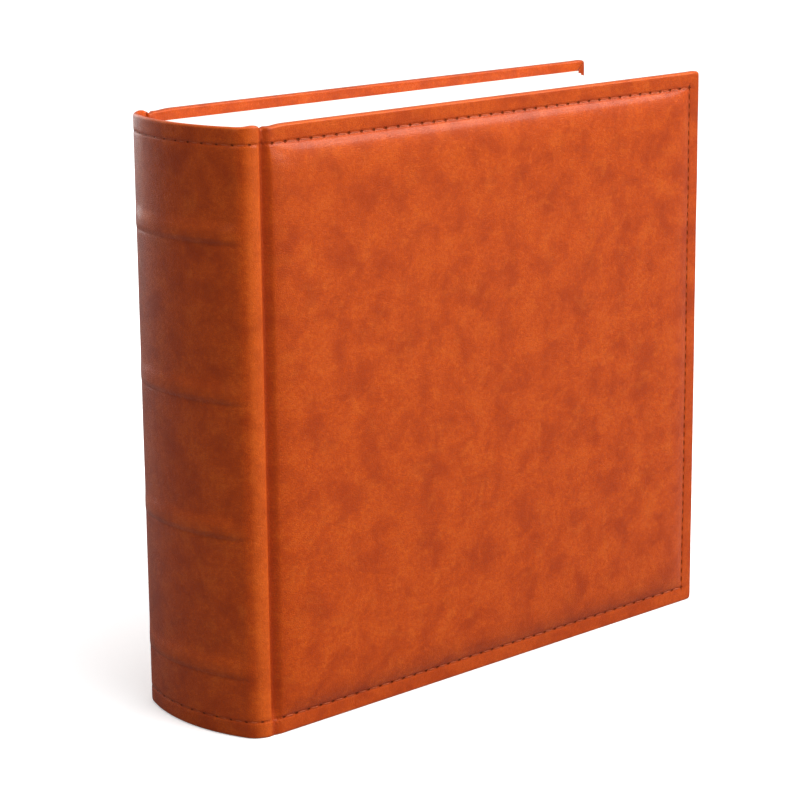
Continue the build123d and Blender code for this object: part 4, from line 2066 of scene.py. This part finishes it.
@dataclass(frozen=True)
class Studio:
    """White floor and surround, soft lamps and the camera."""

    sizes: AlbumSizes
    camera_offset: tuple[float, float, float] = (-2.5811, -3.0587, 1.5212)
    yaw: float = 43.144
    pitch: float = 13.48
    roll: float = -0.552
    focal_length: float = 116.8
    floor_glow: float = 0.34
    floor_radius: float = 6.0
    surround_light: float = 0.27
    ceiling_power: float = 1.9

    def _camera(self) -> None:
        """Stand the camera off the front groove's foot, in cover heights."""
        data = bpy.data.cameras.new("camera")
        data.lens = self.focal_length
        data.sensor_width = 36.0
        data.clip_end = 50.0
        camera = bpy.data.objects.new("camera", data)
        foot = Vector((self.sizes.groove_x, -self.sizes.half, 0.0))
        camera.location = foot + Vector(self.camera_offset) * self.sizes.height
        tilt = math.radians(90.0 - self.pitch)
        facing = Euler((tilt, 0.0, -math.radians(self.yaw)), "XYZ").to_matrix()
        rolled = Euler((0.0, 0.0, math.radians(self.roll)), "XYZ").to_matrix()
        camera.rotation_euler = (facing @ rolled).to_euler()
        bpy.context.scene.collection.objects.link(camera)
        bpy.context.scene.camera = camera

    def _surround(self) -> None:
        """White to the eye, gentler as light, so that the lamps shape the album."""
        world = bpy.data.worlds.new("studio")
        world.use_nodes = True
        bench = Bench(world.node_tree)
        world.node_tree.nodes.clear()
        white = (1.0, 1.0, 1.0, 1.0)
        seen = bench.feed(bench.node("ShaderNodeBackground"), Color=white, Strength=1.0)
        light = bench.node("ShaderNodeBackground")
        bench.feed(light, Color=white, Strength=self.surround_light)
        path = bench.node("ShaderNodeLightPath")
        either = bench.node("ShaderNodeMixShader")
        output = bench.node("ShaderNodeOutputWorld")
        links = world.node_tree.links
        links.new(path.outputs["Is Camera Ray"], either.inputs[0])
        links.new(light.outputs[0], either.inputs[1])
        links.new(seen.outputs[0], either.inputs[2])
        links.new(either.outputs[0], output.inputs["Surface"])
        bpy.context.scene.world = world

    def _floor(self) -> None:
        """A wide pale floor that fades into the surround."""
        turns = [k * math.pi / 32 for k in range(64)]
        radius = self.floor_radius
        corners = [(radius * math.cos(turn), radius * math.sin(turn), 0.0) for turn in turns]
        floor = mesh_object("floor", np.array(corners), [tuple(range(64))])
        material, bench, shader = fresh_material("pale_floor")
        place = bench.node("ShaderNodeTexCoord").outputs["Object"]
        tone = bench.noise(place, 0.8, 2.0)
        colour = bench.mix(tone, (0.93, 0.93, 0.93, 1.0), (0.96, 0.96, 0.96, 1.0))
        bench.feed(shader, Base_Color=colour)
        shader.inputs["Roughness"].default_value = 0.9
        shader.inputs["Specular IOR Level"].default_value = 0.1
        shader.inputs["Emission Color"].default_value = (1.0, 1.0, 1.0, 1.0)
        shader.inputs["Emission Strength"].default_value = self.floor_glow
        dim = bench.feed(bench.node("ShaderNodeBsdfDiffuse"), Color=(0.22, 0.22, 0.22, 1.0))
        path = bench.node("ShaderNodeLightPath")
        either = bench.node("ShaderNodeMixShader")
        links = material.node_tree.links
        links.new(path.outputs["Is Camera Ray"], either.inputs[0])
        links.new(dim.outputs[0], either.inputs[1])
        links.new(shader.outputs[0], either.inputs[2])
        output = next(node for node in material.node_tree.nodes if node.type == "OUTPUT_MATERIAL")
        links.new(either.outputs[0], output.inputs["Surface"])
        floor.data.materials.append(material)

    def _ceiling(self) -> None:
        """Even light from above, which keeps the whole floor white."""
        data = bpy.data.lights.new("ceiling_light", "SUN")
        data.energy = self.ceiling_power
        data.angle = math.radians(50.0)
        lamp = bpy.data.objects.new("ceiling_light", data)
        lamp.rotation_euler = (math.radians(14.0), math.radians(6.0), 0.0)
        bpy.context.scene.collection.objects.link(lamp)

    def build(self) -> None:
        """Build floor, surround, lamps and camera."""
        scene = bpy.context.scene
        scene.view_settings.view_transform = "Standard"
        scene.view_settings.look = "None"
        self._camera()
        self._surround()
        self._floor()
        middle = (0.0, 0.0, self.sizes.height / 2)
        lamps = (
            AreaLamp("key_lamp", (0.45, -2.1, 0.9), middle, (1.2, 1.2), 17.5),
            AreaLamp("high_front_lamp", (0.25, -1.0, 1.75), middle, (1.5, 0.5), 12.0),
            AreaLamp("padding_lamp", (1.5, -1.45, 1.40), middle, (1.2, 0.8), 21.0),
            AreaLamp("back_lamp", (0.35, 2.2, 0.5), middle, (1.3, 1.4), 14.0),
            AreaLamp("side_lamp", (-2.2, -0.5, 0.8), (-0.15, 0.0, 0.17), (1.4, 1.2), 4.0),
        )
        for lamp in lamps:
            lamp.build()
        self._ceiling()
        log.info("studio: %d lamps", len(lamps))


# --------------------------------------------------------------------------
# The album
# --------------------------------------------------------------------------


@dataclass
class ScrapbookAlbum:
    """The whole album, built around its frame."""

    frame: dict

    def build(self) -> None:
        """Build and dress every piece."""
        joints, nodes = self.frame["joints"], self.frame["nodes"]
        sizes = AlbumSizes.read(joints)
        outline = CaseOutline(sizes)
        bands = tuple(self._middle_height(f"raised_band_{k}") for k in range(1, 5))
        margin = self._stitch_margin(nodes["front_stitching"])
        relief = LeatherRelief(outline, bands, margin)
        effects = SharedEffects()
        seams = StitchedSeams(sizes, relief, nodes)
        leather = LeatherFinish().build(effects, sizes, seams.lines(), margin, outline.groove_s)
        LeatherCase(sizes, relief, EdgeRoll()).build(leather)
        foam = FoamFinish().build()
        for side in Side:
            CoverPadding(sizes, relief, side).build(foam)
        rust, umber = (0.56, 0.098, 0.016, 1.0), (0.24, 0.032, 0.004, 1.0)
        seams.build(ThreadFinish("leather_thread", rust, umber, 0.55).build())
        white, cream = (0.91, 0.90, 0.87, 1.0), (0.89, 0.875, 0.84, 1.0)
        card = PaperFinish("page_card", white, cream).build(effects)
        pale, ivory = (0.89, 0.87, 0.82, 1.0), (0.865, 0.84, 0.785, 1.0)
        endpaper = PaperFinish("endpaper", pale, ivory, coarseness=1.4).build(effects)
        sheets = sum(1 for name in nodes if name.startswith("front_leaves_"))
        PageBlock(sizes, joints, sheets).build(card, endpaper)
        tan, brown = (0.40, 0.30, 0.20, 1.0), (0.28, 0.20, 0.13, 1.0)
        band_card = PaperFinish("band_core_card", tan, brown, 0.85, 2.0, 0.00006)
        BandCores(sizes, relief).build(band_card.build(effects))
        self._dress_hidden(nodes, effects)
        Studio(sizes).build()

    @staticmethod
    def _stitch_margin(stitches: bpy.types.Object) -> float:
        """Distance of the cover's seam from the tail, read from its lowest flat stitches.

        Args:
            stitches: The front cover's stitches in the frame.

        Returns:
            The height of the lowest seam's middle.
        """
        flat = [box for box in island_boxes(stitches) if box[1][0] - box[0][0] > 2 * MM]
        lowest = min(low[2] for low, _ in flat)
        highest = min(high[2] for _, high in flat)
        return float(lowest + highest) / 2

    @staticmethod
    def _middle_height(node: str) -> float:
        """Height of a node's middle above the tail."""
        low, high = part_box(node)
        return float(low[2] + high[2]) / 2

    @staticmethod
    def _dress_hidden(nodes: dict[str, bpy.types.Object], effects: SharedEffects) -> None:
        """Dress the pieces inside the covers and the binding.

        Args:
            nodes: The frame's nodes.
            effects: The shared node groups.
        """
        grey, slate = (0.36, 0.34, 0.31, 1.0), (0.24, 0.225, 0.20, 1.0)
        board = PaperFinish("grey_board", grey, slate, 0.85, 2.2, 0.00006)
        buff, kraft = (0.62, 0.57, 0.47, 1.0), (0.48, 0.43, 0.34, 1.0)
        liner = PaperFinish("liner_card", buff, kraft, 0.8, 1.6, 0.00004)
        tape = WovenFinish("linen_tape", (0.76, 0.71, 0.60, 1.0), (0.45, 0.40, 0.30, 1.0), 1500.0)
        gauze = WovenFinish("binding_gauze", (0.80, 0.77, 0.70, 1.0), (0.42, 0.39, 0.33, 1.0), 700.0)
        sewing = WovenFinish("sewing_linen", (0.84, 0.81, 0.74, 1.0), (0.55, 0.52, 0.46, 1.0), 2600.0)
        dress(nodes, ["front_cover_board", "back_cover_board"], board.build(effects))
        dress(nodes, ["front_infill_card", "back_infill_card", "spine_liner"], liner.build(effects))
        dress(nodes, [f"sewing_tape_{k}" for k in range(1, 5)], tape.build(effects))
        dress(nodes, ["spine_mull"], gauze.build(effects))
        dress(nodes, ["sewing_thread"], sewing.build(effects))


def main() -> None:
    """Build the album around its frame."""
    logging.basicConfig(level=logging.INFO, format="%(name)s: %(message)s")
    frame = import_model()
    ScrapbookAlbum(frame).build()


if __name__ == "__main__":
    main()
